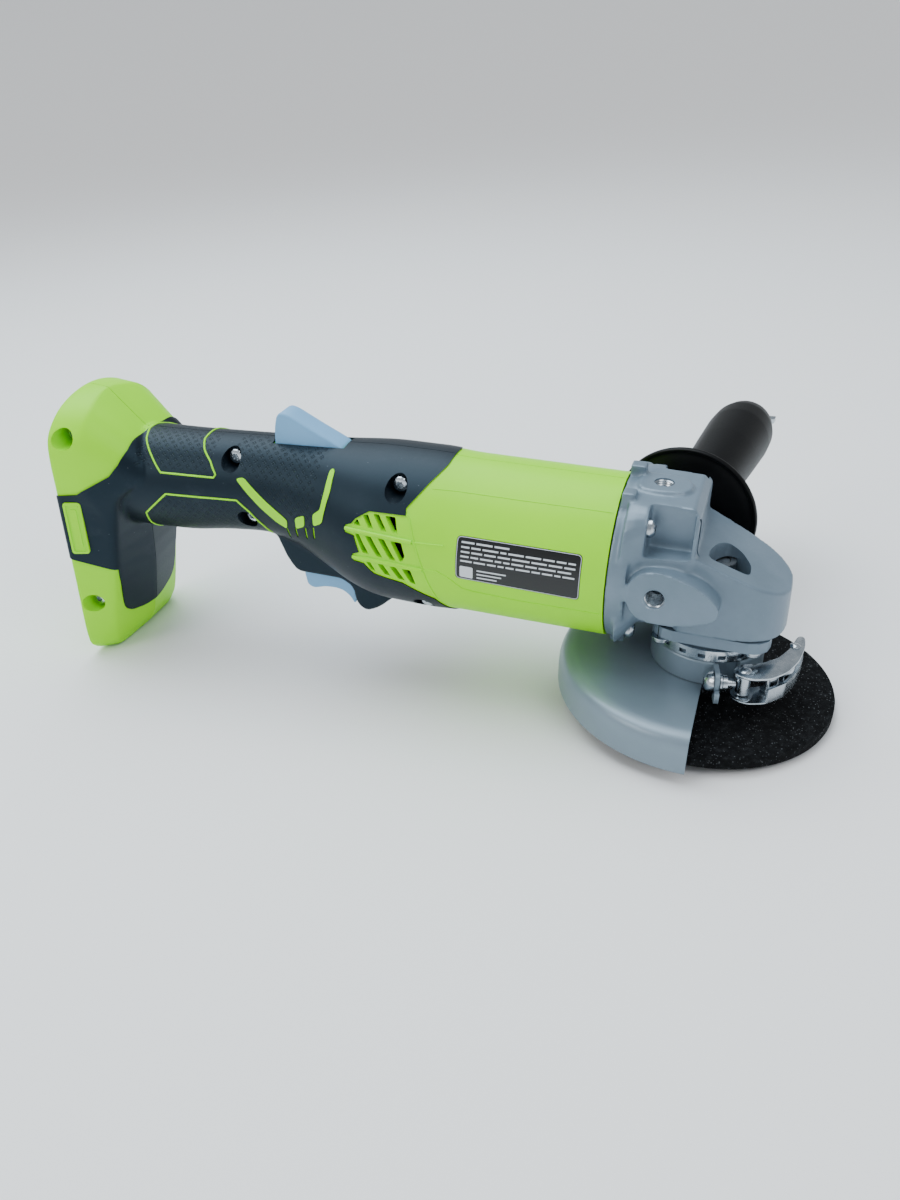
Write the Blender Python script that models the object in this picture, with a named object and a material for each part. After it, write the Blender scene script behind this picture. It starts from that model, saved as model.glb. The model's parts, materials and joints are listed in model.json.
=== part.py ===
"""Battery angle grinder, built as its separate pieces.

All sizes below are in millimetres in the tool frame: the origin is where the motor axis (X)
crosses the spindle axis (Z), +X points to the gear head's nose and +Z is up.
Meshes are scaled to metres as they are made.  One empty, tool_frame, tilts the tool nose down
until the grinding wheel's rim and the battery foot stand on the plane Z = 0.
"""

import math

import bmesh
import bpy
from mathutils import Matrix, Vector

MM = 0.001
GAP = 0.3

# Wheel, guard and spindle
WHEEL_RADIUS = 57.5
WHEEL_THICKNESS = 6.0
WHEEL_TOP = -56.0
HUB_RAISE = 4.5
GUARD_RADIUS = 65.0
GUARD_TOP = -43.0
GUARD_BOTTOM = -61.3
SHEET = 2.0
NECK_RADIUS = 22.2
SPINDLE_RADIUS = 6.0
THREAD_RADIUS = 7.6

# Gear pair
RING_TEETH = 38
PINION_TEETH = 11
RING_PITCH = 21.0
PINION_PITCH = RING_PITCH * PINION_TEETH / RING_TEETH
FACE_WIDTH = 7.0
ADDENDUM = 0.88
DEDENDUM = 1.1
TIP_SHARE = 0.105
ROOT_SHARE = 0.29
PLAIN_SIDES = 28

# Motor housing, handle and battery foot
MOTOR_RADIUS = 35.8
HOUSING_FRONT = -42.6
GRIP_REAR = -268.0
GRIP_FRONT = -128.0
GRIP_SKIN = 1.5
WALL = 2.5
FOOT_REAR = -307.5
FOOT_BOTTOM = -87.0
FOOT_HEEL_X = -297.8
# Half of the battery foot from its top round to its bottom.  Each row holds the rear edge (y, z),
# the side crease (x, y, z), the front edge (x, y, z) and the middle of the front (x).
FOOT_ROWS = (
    ((0, 48.2), (-295.2, 0, 47.5), (-277.0, 0, 30.5), -277.0),
    ((12, 46.9), (-293.5, 11.5, 45.9), (-275.0, 8, 29.8), -275.0),
    ((23, 43.2), (-291.8, 20.5, 42.8), (-272.0, 15.5, 27), -272.0),
    ((31, 37.5), (-291.8, 28.5, 36), (-269.0, 20.5, 21), -269.0),
    ((35.2, 31.5), (-292.5, 32, 28.5), (-267.0, 23, 14), -267.0),
    ((36.5, 22), (-293.8, 33.2, 18.5), (-271.0, 25.2, 9), -270.0),
    ((36.5, 8), (-291.0, 33, 4), (-279.5, 28, 2), -279.0),
    ((36.5, -12), (-285.5, 29, -12), (-283.5, 27.5, -12), -283.0),
    ((36.5, -45), (-290.8, 29, -45), (-288.9, 27.5, -45), -285.0),
    ((36.5, -76), (-295.6, 29, -76), (-294.0, 27.5, -75), -290.0),
    ((33.3, -83.8), (-297.2, 26.5, -83.8), (-295.7, 25, -82.5), -293.0),
    ((25.5, -87), (FOOT_HEEL_X, 20, FOOT_BOTTOM), (-296.3, 19.5, -85.5), -295.5),
    ((0, -87), (FOOT_HEEL_X, 0, FOOT_BOTTOM), (-295.8, 0, -85.5), -295.8),
)

# Gear case
CASE_REAR = -42.2
CASE_BOTTOM = -18.5
HEAD_PLANE_Z = 12.35
HEAD_PLANE_SLOPE = -0.435
BOSS_X = -22.0
BOSS_Z = 1.0
BOSS_FACE = 36.0
GEAR_ROOM = 24.6
LOCK_BUTTON_SEAT = 26.2

# Bearing cover screws (x, y), the clamp bolt's head and the quick lever's pin
COVER_SCREWS = ((-18.5, -21.5), (19.0, -20.5), (19.0, 20.5), (-18.5, 21.5))
CLAMP_AXIS_POINT = Vector((6.8, -29.4, -37.5))
LEVER_PIN = Vector((17.6, -26.9, 0.0))

# Side handle: its axis leans a little forward and up
HANDLE_START = Vector((BOSS_X, BOSS_FACE, BOSS_Z))
HANDLE_LEAN = Vector((0.15, 1.0, 0.03))
HANDLE_LENGTH = 131.0
HANDLE_DISC = 33.0

# Stations of the handle and motor barrel: x, half width, top, bottom
BODY_STATIONS = (
    (-293.0, 24.5, 29.4, -20.6),
    (-262.0, 23.4, 30.2, -19.6),
    (-250.0, 22.8, 30.6, -19.0),
    (-232.0, 21.8, 31.6, -15.9),
    (-213.0, 21.4, 32.7, -13.9),
    (-204.0, 21.8, 33.2, -14.2),
    (-190.0, 23.8, 33.9, -18.0),
    (-175.0, 28.2, 34.6, -26.5),
    (-162.0, 33.0, 35.6, -32.6),
    (-150.0, 36.0, 36.5, -35.9),
    (-122.0, 36.6, 36.6, -36.6),
    (-112.0, MOTOR_RADIUS, MOTOR_RADIUS, -MOTOR_RADIUS),
    (HOUSING_FRONT, MOTOR_RADIUS, MOTOR_RADIUS, -MOTOR_RADIUS),
)
BODY_SIDES = 24

# Housing screws run along Y: x, z and the depth of the head's seat
HOUSING_SCREWS = (
    (-300.0, 32.0, -22.0),
    (-301.0, -56.5, -26.0),
    (-222.0, 25.5, -8.5),
    (-214.6, -2.0, -12.0),
    (-137.0, 27.5, -17.0),
    (-125.0, -28.0, -17.0),
)
SCREW_SHANK = 1.6
SCREW_HEAD = 3.3
SCREW_HEAD_HEIGHT = 2.4
SCREW_END = 8.0
BOSS_RADIUS = 4.4

# Trigger, lock-off lever and switch
TRIGGER_REAR = -192.4
TRIGGER_FRONT = -165.9
TRIGGER_HALF = 9.0
TRIGGER_TOP = -26.5
WEB_HALF = 12.0
LEVER_PIVOT = Vector((-174.0, 0.0, 28.5))
LEVER_HALF = 6.0

MATERIALS = {
    "lime_plastic": ((0.45, 0.87, 0.0), 0.35, 0.0),
    "dark_rubber": ((0.02, 0.025, 0.035), 0.6, 0.0),
    "trigger_plastic": ((0.45, 0.55, 0.65), 0.4, 0.0),
    "cast_alloy": ((0.42, 0.44, 0.46), 0.4, 0.8),
    "guard_steel": ((0.42, 0.46, 0.5), 0.35, 0.7),
    "zinc_steel": ((0.6, 0.62, 0.65), 0.25, 1.0),
    "steel": ((0.5, 0.5, 0.52), 0.3, 1.0),
    "black_plastic": ((0.012, 0.012, 0.014), 0.45, 0.0),
    "abrasive": ((0.02, 0.02, 0.02), 0.9, 0.0),
    "copper": ((0.7, 0.3, 0.15), 0.35, 1.0),
    "brass": ((0.75, 0.58, 0.25), 0.3, 1.0),
    "carbon": ((0.03, 0.03, 0.03), 0.7, 0.0),
    "magnet": ((0.08, 0.08, 0.085), 0.6, 0.2),
}

# These turn a shape made about Z to lie along Y or X, with its heights as y or x values.
Y_AXIS = Matrix.Rotation(math.radians(-90), 4, "X")
X_UP = Matrix(((0, 0, 1, 0), (0, 1, 0, 0), (-1, 0, 0, 0), (0, 0, 0, 1)))


# ---------------------------------------------------------------- scene and objects


def clear_scene():
    for old in list(bpy.data.objects):
        bpy.data.objects.remove(old)


def make_materials():
    made = {}
    for name, (colour, roughness, metallic) in MATERIALS.items():
        material = bpy.data.materials.new(name)
        material.use_nodes = True
        shader = material.node_tree.nodes["Principled BSDF"]
        shader.inputs["Base Color"].default_value = (*colour, 1.0)
        shader.inputs["Roughness"].default_value = roughness
        shader.inputs["Metallic"].default_value = metallic
        made[name] = material
    return made


class Workshop:
    """Makes the objects, all under the tool_frame empty."""

    def __init__(self):
        clear_scene()
        self.materials = make_materials()
        self.frame = bpy.data.objects.new("tool_frame", None)
        bpy.context.scene.collection.objects.link(self.frame)
        self.pieces = []

    def place(self, obj, at, turn):
        bpy.context.scene.collection.objects.link(obj)
        obj.parent = self.frame
        obj.matrix_local = Matrix.Translation(Vector(at) * MM) @ turn

    def make(self, name, shape, material, at=(0, 0, 0), turn=None, smooth=40):
        mesh = bpy.data.meshes.new(name)
        bmesh.ops.scale(shape, vec=(MM, MM, MM), verts=shape.verts)
        shape.to_mesh(mesh)
        shape.free()
        mesh.shade_smooth()
        mesh.set_sharp_from_angle(angle=math.radians(smooth))
        mesh.materials.append(self.materials[material])
        obj = bpy.data.objects.new(name, mesh)
        self.place(obj, at, turn or Matrix())
        self.pieces.append(obj)
        return obj

    def cutter(self, shape, at=(0, 0, 0), turn=None):
        mesh = bpy.data.meshes.new("cutter")
        bmesh.ops.scale(shape, vec=(MM, MM, MM), verts=shape.verts)
        shape.to_mesh(mesh)
        shape.free()
        obj = bpy.data.objects.new("cutter", mesh)
        self.place(obj, at, turn or Matrix())
        obj.hide_render = True
        obj.display_type = "WIRE"
        return obj

    def coil(self, name, radius, wire, low, high, turns, material, at):
        """A round wire spring along the tool's Z, as a bevelled curve."""
        per_turn = 8
        count = turns * per_turn
        curve = bpy.data.curves.new(name, "CURVE")
        curve.dimensions = "3D"
        curve.bevel_depth = wire * MM
        curve.bevel_resolution = 0
        curve.use_fill_caps = True
        curve.materials.append(self.materials[material])
        line = curve.splines.new("POLY")
        line.points.add(count)
        for i, point in enumerate(line.points):
            angle = 2 * math.pi * i / per_turn
            height = low + (high - low) * i / count
            spot = Vector((radius * math.cos(angle), radius * math.sin(angle), height)) * MM
            point.co = (*spot, 1.0)
        obj = bpy.data.objects.new(name, curve)
        self.place(obj, at, Matrix())
        self.pieces.append(obj)
        return obj


def boolean(obj, other, operation="DIFFERENCE"):
    modifier = obj.modifiers.new(operation.lower(), "BOOLEAN")
    modifier.operation = operation
    modifier.object = other
    modifier.solver = "EXACT"


# ---------------------------------------------------------------- shapes


def loft(rings, closed=False):
    """Skins rings of equal length; open lofts get flat end caps."""
    shape = bmesh.new()
    rows = [[shape.verts.new(point) for point in ring] for ring in rings]
    pairs = list(zip(rows, rows[1:]))
    if closed:
        pairs.append((rows[-1], rows[0]))
    for first, second in pairs:
        for i in range(len(first)):
            j = (i + 1) % len(first)
            shape.faces.new((first[i], first[j], second[j], second[i]))
    if not closed:
        shape.faces.new(rows[0])
        shape.faces.new(rows[-1])
    bmesh.ops.recalc_face_normals(shape, faces=shape.faces)
    return shape


def bridged(rings):
    """Joins rings in a loop with triangles, so that their point counts may differ."""
    shape = bmesh.new()
    rows = [[shape.verts.new(point) for point in ring] for ring in rings]
    for first, second in zip(rows, rows[1:] + rows[:1]):
        i = j = 0
        while i < len(first) or j < len(second):
            near = first[i % len(first)]
            far = second[j % len(second)]
            if (i + 1) * len(second) <= (j + 1) * len(first):
                i += 1
                shape.faces.new((near, first[i % len(first)], far))
            else:
                j += 1
                shape.faces.new((near, second[j % len(second)], far))
    bmesh.ops.recalc_face_normals(shape, faces=shape.faces)
    return shape


def turned(profile, sides=24):
    """A solid of revolution about Z from a closed outline of (radius, height) points."""
    shape = bmesh.new()
    rows = []
    for radius, height in profile:
        if radius == 0:
            rows.append([shape.verts.new((0, 0, height))] * sides)
        else:
            rows.append([shape.verts.new((*spot, height)) for spot in circle(radius, sides)])
    for first, second in zip(rows, rows[1:] + rows[:1]):
        for i in range(sides):
            j = (i + 1) % sides
            corners = list(dict.fromkeys((first[i], first[j], second[j], second[i])))
            if len(corners) > 2:
                shape.faces.new(corners)
    bmesh.ops.recalc_face_normals(shape, faces=shape.faces)
    return shape


def prism(outline, low, high):
    """A flat outline of (x, y) points extruded from low to high along Z."""
    shape = bmesh.new()
    face = shape.faces.new([shape.verts.new((x, y, low)) for x, y in outline])
    grown = bmesh.ops.extrude_face_region(shape, geom=[face])
    moved = [item for item in grown["geom"] if isinstance(item, bmesh.types.BMVert)]
    bmesh.ops.translate(shape, vec=(0, 0, high - low), verts=moved)
    bmesh.ops.recalc_face_normals(shape, faces=shape.faces)
    return shape


def side_prism(outline, half):
    """An outline of (x, z) points extruded across the tool, from -half to +half in Y."""
    return loft([[(x, y, z) for x, z in outline] for y in (-half, half)])


def pipe(outer, inner, low, high):
    """A prism of one outline with a hole of another that has as many points."""
    rings = []
    for outline, height in ((outer, low), (outer, high), (inner, high), (inner, low)):
        rings.append([(x, y, height) for x, y in outline])
    return loft(rings, closed=True)


def block(low, high):
    (x0, y0, z0), (x1, y1, z1) = low, high
    return prism(((x0, y0), (x1, y0), (x1, y1), (x0, y1)), z0, z1)


def rod(radius, low, high, sides=12):
    return prism(circle(radius, sides), low, high)


def circle(radius, sides, centre=(0, 0), start=0.0):
    points = []
    for i in range(sides):
        angle = start + 2 * math.pi * i / sides
        points.append((centre[0] + radius * math.cos(angle), centre[1] + radius * math.sin(angle)))
    return points


def arc(radius, start, end, steps, centre=(0, 0)):
    points = []
    for i in range(steps + 1):
        angle = math.radians(start + (end - start) * i / steps)
        points.append((centre[0] + radius * math.cos(angle), centre[1] + radius * math.sin(angle)))
    return points


def rounded_rectangle(half_x, half_y, radius, steps=3, centre=(0, 0)):
    points = []
    for quarter, (sx, sy) in enumerate(((1, 1), (-1, 1), (-1, -1), (1, -1))):
        middle = (centre[0] + sx * (half_x - radius), centre[1] + sy * (half_y - radius))
        points += arc(radius, 90 * quarter, 90 * quarter + 90, steps, middle)
    return points


def arc_band(inner, outer, start, end, steps):
    return arc(outer, start, end, steps) + arc(inner, end, start, steps)


# ---------------------------------------------------------------- handle, motor barrel, foot


def body_size(x):
    """Half width, top and bottom of the handle and barrel at x."""
    last = BODY_STATIONS[-1]
    for near, far in zip(BODY_STATIONS, BODY_STATIONS[1:]):
        if x <= far[0]:
            share = max(0.0, (x - near[0]) / (far[0] - near[0]))
            return [a + (b - a) * share for a, b in zip(near[1:], far[1:])]
    return list(last[1:])


def body_ring(x, inset):
    half, top, bottom = body_size(x)
    middle = (top + bottom) / 2
    height = (top - bottom) / 2 - inset
    ring = []
    for y, z in circle(1.0, BODY_SIDES, start=math.pi / BODY_SIDES):
        ring.append((x, y * (half - inset), middle + z * height))
    return ring


def stations_between(start, end):
    inside = [row[0] for row in BODY_STATIONS if start < row[0] < end]
    return [start, *inside, end]


def housing_core():
    """The outer skin under the grip's rubber: thinner by the rubber between the grip's ends."""
    under = GRIP_SKIN + GAP
    rings = [body_ring(x, 0) for x in stations_between(-290.0, GRIP_REAR - GAP)]
    rings += [body_ring(x, under) for x in stations_between(GRIP_REAR - GAP, GRIP_FRONT + GAP)]
    rings += [body_ring(x, 0) for x in stations_between(GRIP_FRONT + GAP, HOUSING_FRONT)]
    return loft(rings)


def housing_hollow():
    """The inside of the handle and barrel, with two ribs that hold the motor can."""
    handle = GRIP_SKIN + GAP + WALL
    rib = MOTOR_RADIUS - 27.4
    rings = [body_ring(x, handle) for x in stations_between(-300.0, GRIP_FRONT)]
    rings += [body_ring(x, WALL + 0.3) for x in (GRIP_FRONT, -112.0)]
    for low, high in ((-112.0, -109.0), (-76.0, -73.0)):
        rings.append(body_ring(low, WALL + 0.3))
        rings += [body_ring(low + 0.01, rib), body_ring(high - 0.01, rib)]
        rings.append(body_ring(high, WALL + 0.3))
    rings.append(body_ring(HOUSING_FRONT + 5, WALL + 0.3))
    return loft(rings)


def foot_solid():
    """The battery foot: a domed plate whose sides taper forward to a bulged front."""
    half = []
    middle = []
    for (y, z), crease, front, middle_x in FOOT_ROWS:
        inset = 1 - 1.5 / 36.5
        half.append(((FOOT_REAR, y * inset, z * inset), (FOOT_REAR + 1.5, y, z), crease, front))
        middle.append((middle_x, 0, front[2]))
    shape = bmesh.new()
    near = [[shape.verts.new(point) for point in row] for row in half]
    far = [near[0]]
    for row in half[1:-1]:
        far.append([shape.verts.new((x, -y, z)) for x, y, z in row])
    far.append(near[-1])
    seam = [near[0][-1]]
    seam += [shape.verts.new(point) for point in middle[1:-1]]
    seam.append(near[-1][-1])
    for side in (near, far):
        for first, second, low, high in zip(side, side[1:], seam, seam[1:]):
            for i in range(3):
                shape.faces.new((first[i], first[i + 1], second[i + 1], second[i]))
            corners = dict.fromkeys((first[3], second[3], high, low))
            shape.faces.new(list(corners))
    shape.faces.new([row[0] for row in near] + [row[0] for row in reversed(far[1:-1])])
    bmesh.ops.recalc_face_normals(shape, faces=shape.faces)
    return shape


def web_outline(grow=0.0):
    """The trigger housing under the handle, seen from the side."""
    return (
        (-204.0 - grow, -6.0 + grow),
        (-199.0 - grow, -23.5),
        (-195.4 - grow, -30.3 - grow),
        (-172.0, -30.3 - grow),
        (-166.2 - grow, -34.0 - grow),
        (-164.4 - grow, -43.0),
        (-159.5, -46.2 - grow),
        (-153.0 + grow, -43.0 - grow),
        (-146.0 + grow, -36.5 - grow),
        (-138.0 + grow, -30.0 - grow),
        (-138.0 + grow, -8.0 + grow),
    )


def screw_bosses(shop):
    bosses = []
    for x, z, _seat in HOUSING_SCREWS[2:]:
        bosses.append(shop.cutter(rod(BOSS_RADIUS, -60, 60, 8), (x, 0, z), Y_AXIS))
    for side in (-1, 1):
        near, far = sorted((side * (LEVER_HALF + 0.5), side * 11.0))
        bosses.append(shop.cutter(block((-180, near, 22), (-168, far, 40))))
    return bosses


def lever_slot():
    return block((-205.0, -LEVER_HALF - 0.5, 18), (-168.9, LEVER_HALF + 0.5, 60))


def vent_slots(shop):
    """Slanted air inlets through both sides, beside the commutator."""
    cutters = []
    for row in range(3):
        centre = (-137.0 + 3.0 * row, 0, -9.0 + 9.0 * row)
        turn = Matrix.Rotation(math.radians(18), 4, "Y")
        cutters.append(shop.cutter(block((-11, -60, -1.8), (11, 60, 1.8)), centre, turn))
    return cutters


def screw_holes(shop, radius_more):
    """A head recess from the right side and a clearance hole for each housing screw."""
    cutters = []
    for x, z, seat in HOUSING_SCREWS:
        shape = turned(
            (
                (0, -70),
                (SCREW_HEAD + 0.5 + radius_more, -70),
                (SCREW_HEAD + 0.5 + radius_more, seat),
                (SCREW_SHANK + 0.3, seat),
                (SCREW_SHANK + 0.3, SCREW_END + 1),
                (0, SCREW_END + 1),
            ),
            10,
        )
        cutters.append(shop.cutter(shape, (x, 0, z), Y_AXIS))
    return cutters


def make_housing(shop):
    hollow = shop.cutter(housing_hollow())
    for boss in screw_bosses(shop):
        boolean(hollow, boss)
    web = shop.cutter(side_prism(web_outline(), WEB_HALF))
    foot = shop.cutter(foot_solid())
    battery_recess = shop.cutter(
        prism(rounded_rectangle(35.0, 29.0, 6.0, centre=(9.0, 0)), -320, -292), (0, 0, 0), X_UP
    )
    lower_relief = shop.cutter(
        prism(rounded_rectangle(7.0, 24.0, 4.0, centre=(71.5, 0)), -320, -299.5), (0, 0, 0), X_UP
    )
    trigger_slot = shop.cutter(
        block((TRIGGER_REAR - 0.4, -TRIGGER_HALF - 0.5, -70), (TRIGGER_FRONT + 0.4, TRIGGER_HALF + 0.5, 0))
    )
    lever_opening = shop.cutter(lever_slot())
    pin_hole = shop.cutter(rod(1.8, -9.3, 9.3, 12), LEVER_PIVOT, Y_AXIS)
    cuts = [hollow, battery_recess, lower_relief, trigger_slot, lever_opening, pin_hole]
    cuts += vent_slots(shop) + screw_holes(shop, 0.0)
    for name, side in (("housing_right", -1), ("housing_left", 1)):
        shell = shop.make(name, housing_core(), "lime_plastic")
        boolean(shell, foot, "UNION")
        boolean(shell, web, "UNION")
        for cutter in cuts:
            boolean(shell, cutter)
        boolean(shell, half_space(shop, side), "INTERSECT")


def half_space(shop, side):
    near, far = sorted((side * GAP / 2, side * 120.0))
    return shop.cutter(block((-400, near, -200), (100, far, 200)))


def make_grip(shop):
    """The rubber skin over the handle, one shell on each housing half."""
    inner = [body_ring(x, GRIP_SKIN) for x in stations_between(GRIP_REAR - 2, GRIP_FRONT + 2)]
    cuts = [
        shop.cutter(loft(inner)),
        shop.cutter(side_prism(web_outline(GAP), WEB_HALF + GAP)),
        shop.cutter(lever_slot()),
    ]
    cuts += vent_slots(shop) + screw_holes(shop, 0.3)
    foot = shop.cutter(foot_solid(), (GAP, 0, 0))
    for name, side in (("grip_right", -1), ("grip_left", 1)):
        outer = [body_ring(x, 0) for x in stations_between(GRIP_REAR, GRIP_FRONT)]
        skin = shop.make(name, loft(outer), "dark_rubber")
        for cutter in cuts:
            boolean(skin, cutter)
        boolean(skin, foot)
        boolean(skin, half_space(shop, side), "INTERSECT")


def make_housing_screws(shop):
    for number, (x, z, seat) in enumerate(HOUSING_SCREWS, 1):
        top = seat - GAP
        shape = turned(
            (
                (0, top - SCREW_HEAD_HEIGHT),
                (SCREW_HEAD * 0.7, top - SCREW_HEAD_HEIGHT),
                (SCREW_HEAD, top - 1.0),
                (SCREW_HEAD, top),
                (SCREW_SHANK, top),
                (SCREW_SHANK, SCREW_END),
                (0, SCREW_END),
            ),
            8,
        )
        shop.make(f"housing_screw_{number}", shape, "zinc_steel", (x, 0, z), Y_AXIS)


# ---------------------------------------------------------------- battery contacts and controls


def make_contacts(shop):
    shop.make("terminal_block", block((-240, -13, -4), (-228, 13, 14)), "black_plastic")
    for name, y in (("terminal_blade_positive", -8.0), ("terminal_blade_negative", 8.0)):
        outline = ((-240 - GAP, 0), (-240 - GAP, 10), (-258, 10), (-262, 8.5), (-262, 1.5), (-258, 0))
        shop.make(name, side_prism(outline, 0.4), "brass", (0, y, 0))


def make_switch(shop):
    body = shop.make("switch_body", block((-191.5, -8, -14), (-167.5, 8, 12.5)), "black_plastic")
    centre = (-179.5, 0, 0)
    boolean(body, shop.cutter(rod(3.4, -30, -2.5, 12), centre))
    shop.make("switch_plunger", rod(3.0, TRIGGER_TOP + GAP, -9.5, 12), "black_plastic", centre)
    shop.coil("trigger_spring", 4.9, 0.4, TRIGGER_TOP + 0.8, -14.8, 5, "steel", centre)


def make_trigger(shop):
    outline = (
        (TRIGGER_REAR, TRIGGER_TOP),
        (TRIGGER_REAR, -30.5),
        (-191.0, -38.7),
        (-188.0, -39.5),
        (-182.0, -37.7),
        (-176.0, -37.3),
        (-172.0, -38.3),
        (-168.8, -40.7),
        (-166.8, -43.9),
        (TRIGGER_FRONT, -43.5),
        (TRIGGER_FRONT, TRIGGER_TOP),
    )
    shop.make("trigger", side_prism(outline, TRIGGER_HALF), "trigger_plastic")


def make_lock_off(shop):
    """The lever that has to be pressed before the trigger moves, on its pin."""
    px, _, pz = LEVER_PIVOT
    outline = (
        (-204.2, 26.5),
        (-203.6, 40.0),
        (-202.2, 46.2),
        (-199.6, 47.8),
        (-196.0, 47.0),
        (-184.0, 41.0),
        (-172.0, 35.2),
        (-169.6, 33.6),
        (-169.6, 25.5),
        (-178.0, 25.0),
    )
    local = [(x - px, z - pz) for x, z in outline]
    lever = shop.make("lock_off_lever", side_prism(local, LEVER_HALF), "trigger_plastic", LEVER_PIVOT)
    boolean(lever, shop.cutter(rod(1.8, -20, 20, 12), LEVER_PIVOT, Y_AXIS))
    shop.make("lock_off_pin", rod(1.5, -9, 9, 12), "steel", LEVER_PIVOT, Y_AXIS)
    shop.coil("lock_off_spring", 3.0, 0.4, 13.4, 24.2, 4, "steel", (-188, 0, 0))


# ---------------------------------------------------------------- motor


def make_motor(shop):
    shop.make("motor_can", turned(((27, -119.5), (27, -66), (25.2, -66), (25.2, -119.5)), 28), "zinc_steel", turn=X_UP)
    for name, start in (("magnet_lower", -62), ("magnet_upper", 118)):
        shop.make(name, prism(arc_band(21.6, 24.9, start, start + 124, 10), -113, -72), "magnet", turn=X_UP)
    bell = (
        (22.5, -121),
        (20.3, -121),
        (20.3, -137.5),
        (6, -137.5),
        (6, -139.4),
        (9.8, -139.4),
        (9.8, -146.2),
        (12, -146.2),
        (12, -139.7),
        (22.5, -139.7),
    )
    end_bell = shop.make("end_bell", turned(bell, 20), "black_plastic", turn=X_UP)
    for name, side in (("carbon_brush_right", -1), ("carbon_brush_left", 1)):
        near, far = sorted((side * 15.0, side * 30.0))
        boolean(end_bell, shop.cutter(block((-133, near, -4.9), (-125, far, 4.9))))
        near, far = sorted((side * 9.4, side * 22.0))
        shop.make(name, block((-132.6, near, -4.5), (-125.4, far, 4.5)), "carbon")
    shaft = ((0, -146), (2.9, -146), (2.9, -138.5), (3.9, -138.5), (3.9, -21.8), (2.2, -21.8), (2.2, -14.4), (0, -14.4))
    shop.make("armature_shaft", turned(shaft, 12), "steel", turn=X_UP)
    shop.make("armature_core", armature_core(), "steel", turn=X_UP)
    for name, low, high in (("winding_rear", -119.8, -112.3), ("winding_front", -73.7, -67.5)):
        ring = ((4.3, low), (16, low), (18.5, low + 2), (18.5, high - 2), (17, high), (4.3, high))
        shop.make(name, turned(ring, 20), "copper", turn=X_UP)
    shop.make("commutator", turned(((4.3, -137), (9, -137), (9, -120.2), (4.3, -120.2)), 24), "copper", turn=X_UP)
    bearing(shop, "motor_bearing_rear", 3.2, 9.5, -145.7, -139.9, X_UP)
    bearing(shop, "motor_bearing_front", 4.2, 11.0, -34.3, -27.6, X_UP)
    make_fan(shop)


def armature_core():
    """A stack of laminations with eight winding slots."""
    poles = 8
    outer = []
    for pole in range(poles):
        for share, radius in ((0.0, 20.8), (0.36, 20.8), (0.72, 20.8), (0.78, 13.5), (0.94, 13.5)):
            angle = 2 * math.pi * (pole + share) / poles
            outer.append((radius * math.cos(angle), radius * math.sin(angle)))
    return pipe(outer, circle(4.2, len(outer)), -112, -74)


def bearing(shop, name, bore, outer, low, high, turn=None):
    """A ball bearing's envelope, a plain ring."""
    profile = ((bore, low), (outer, low), (outer, high), (bore, high))
    shop.make(name, turned(profile, 20), "steel", turn=turn)


def make_fan(shop):
    blades = 7
    star = []
    for blade in range(blades):
        middle = 360.0 * blade / blades
        for radius, off in ((9.0, -14.0), (9.0, -5.0), (29.5, 3.0), (29.5, 6.4), (9.0, 7.0)):
            angle = math.radians(middle + off)
            star.append((radius * math.cos(angle), radius * math.sin(angle)))
    fan = shop.make("cooling_fan", pipe(star, circle(4.3, len(star)), -58.8, -50), "black_plastic", turn=X_UP)
    plate = shop.cutter(turned(((4.3, -60), (29.8, -60), (29.8, -58.4), (4.3, -58.4)), len(star)), turn=X_UP)
    boolean(fan, plate, "UNION")


# ---------------------------------------------------------------- gears


def bevel_gear(teeth, pitch, mate_pitch, bore, back, rim=None, phase=0.0):
    """A straight bevel gear about Z with its cone's apex at the origin and its body below it.

    back is the depth of its flat rear face, phase turns it by a share of a tooth, and a rim radius
    gives it a plain cylindrical band.
    """
    cone = math.atan2(pitch, mate_pitch)
    distance = math.hypot(pitch, mate_pitch)
    inner = (distance - FACE_WIDTH) / distance

    def point(angle, height, scale):
        radius = (pitch + height * math.cos(cone)) * scale
        level = -(mate_pitch - height * math.sin(cone)) * scale
        return (radius * math.cos(angle), radius * math.sin(angle), level)

    corners = ((-ROOT_SHARE, -DEDENDUM), (-TIP_SHARE, ADDENDUM), (TIP_SHARE, ADDENDUM), (ROOT_SHARE, -DEDENDUM))
    rings = [[], []]
    for tooth in range(teeth):
        for share, height in corners:
            angle = 2 * math.pi * (tooth + share + phase) / teeth
            rings[0].append(point(angle, height, inner))
            rings[1].append(point(angle, height, 1.0))

    def plain(radius, level):
        return [(x, y, level) for x, y in circle(radius, PLAIN_SIDES)]

    front = -mate_pitch * inner + 0.4 * DEDENDUM
    if rim:
        rings += [plain(rim, -mate_pitch - 2.2), plain(rim, back)]
    rings += [plain(bore, back), plain(bore, front)]
    return bridged(rings)


def make_gears(shop):
    ring = bevel_gear(RING_TEETH, RING_PITCH, PINION_PITCH, SPINDLE_RADIUS + 0.3, -15.0, 22.2)
    shop.make("ring_gear", ring, "steel")
    pinion = bevel_gear(PINION_TEETH, PINION_PITCH, RING_PITCH, 2.5, -21.5, phase=0.5)
    shop.make("pinion", pinion, "steel", turn=X_UP)


# ---------------------------------------------------------------- gear case and spindle


def head_outline(low):
    """Half plan of the gear head from its rear to its nose: wider at the bottom than the top."""
    if low:
        side = ((-14, 27.2), (-5, 27.2), (6, 27), (16, 25.8), (24, 22.5), (29, 16), (31, 8))
    else:
        side = ((-14, 26.2), (-5, 25.6), (6, 24.2), (15, 22.4), (22.5, 19.2), (28, 13), (30.4, 6.5))
    return [(x, -y) for x, y in side] + [(x, y) for x, y in reversed(side)]


def head_top(x):
    return HEAD_PLANE_Z + HEAD_PLANE_SLOPE * x


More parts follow.
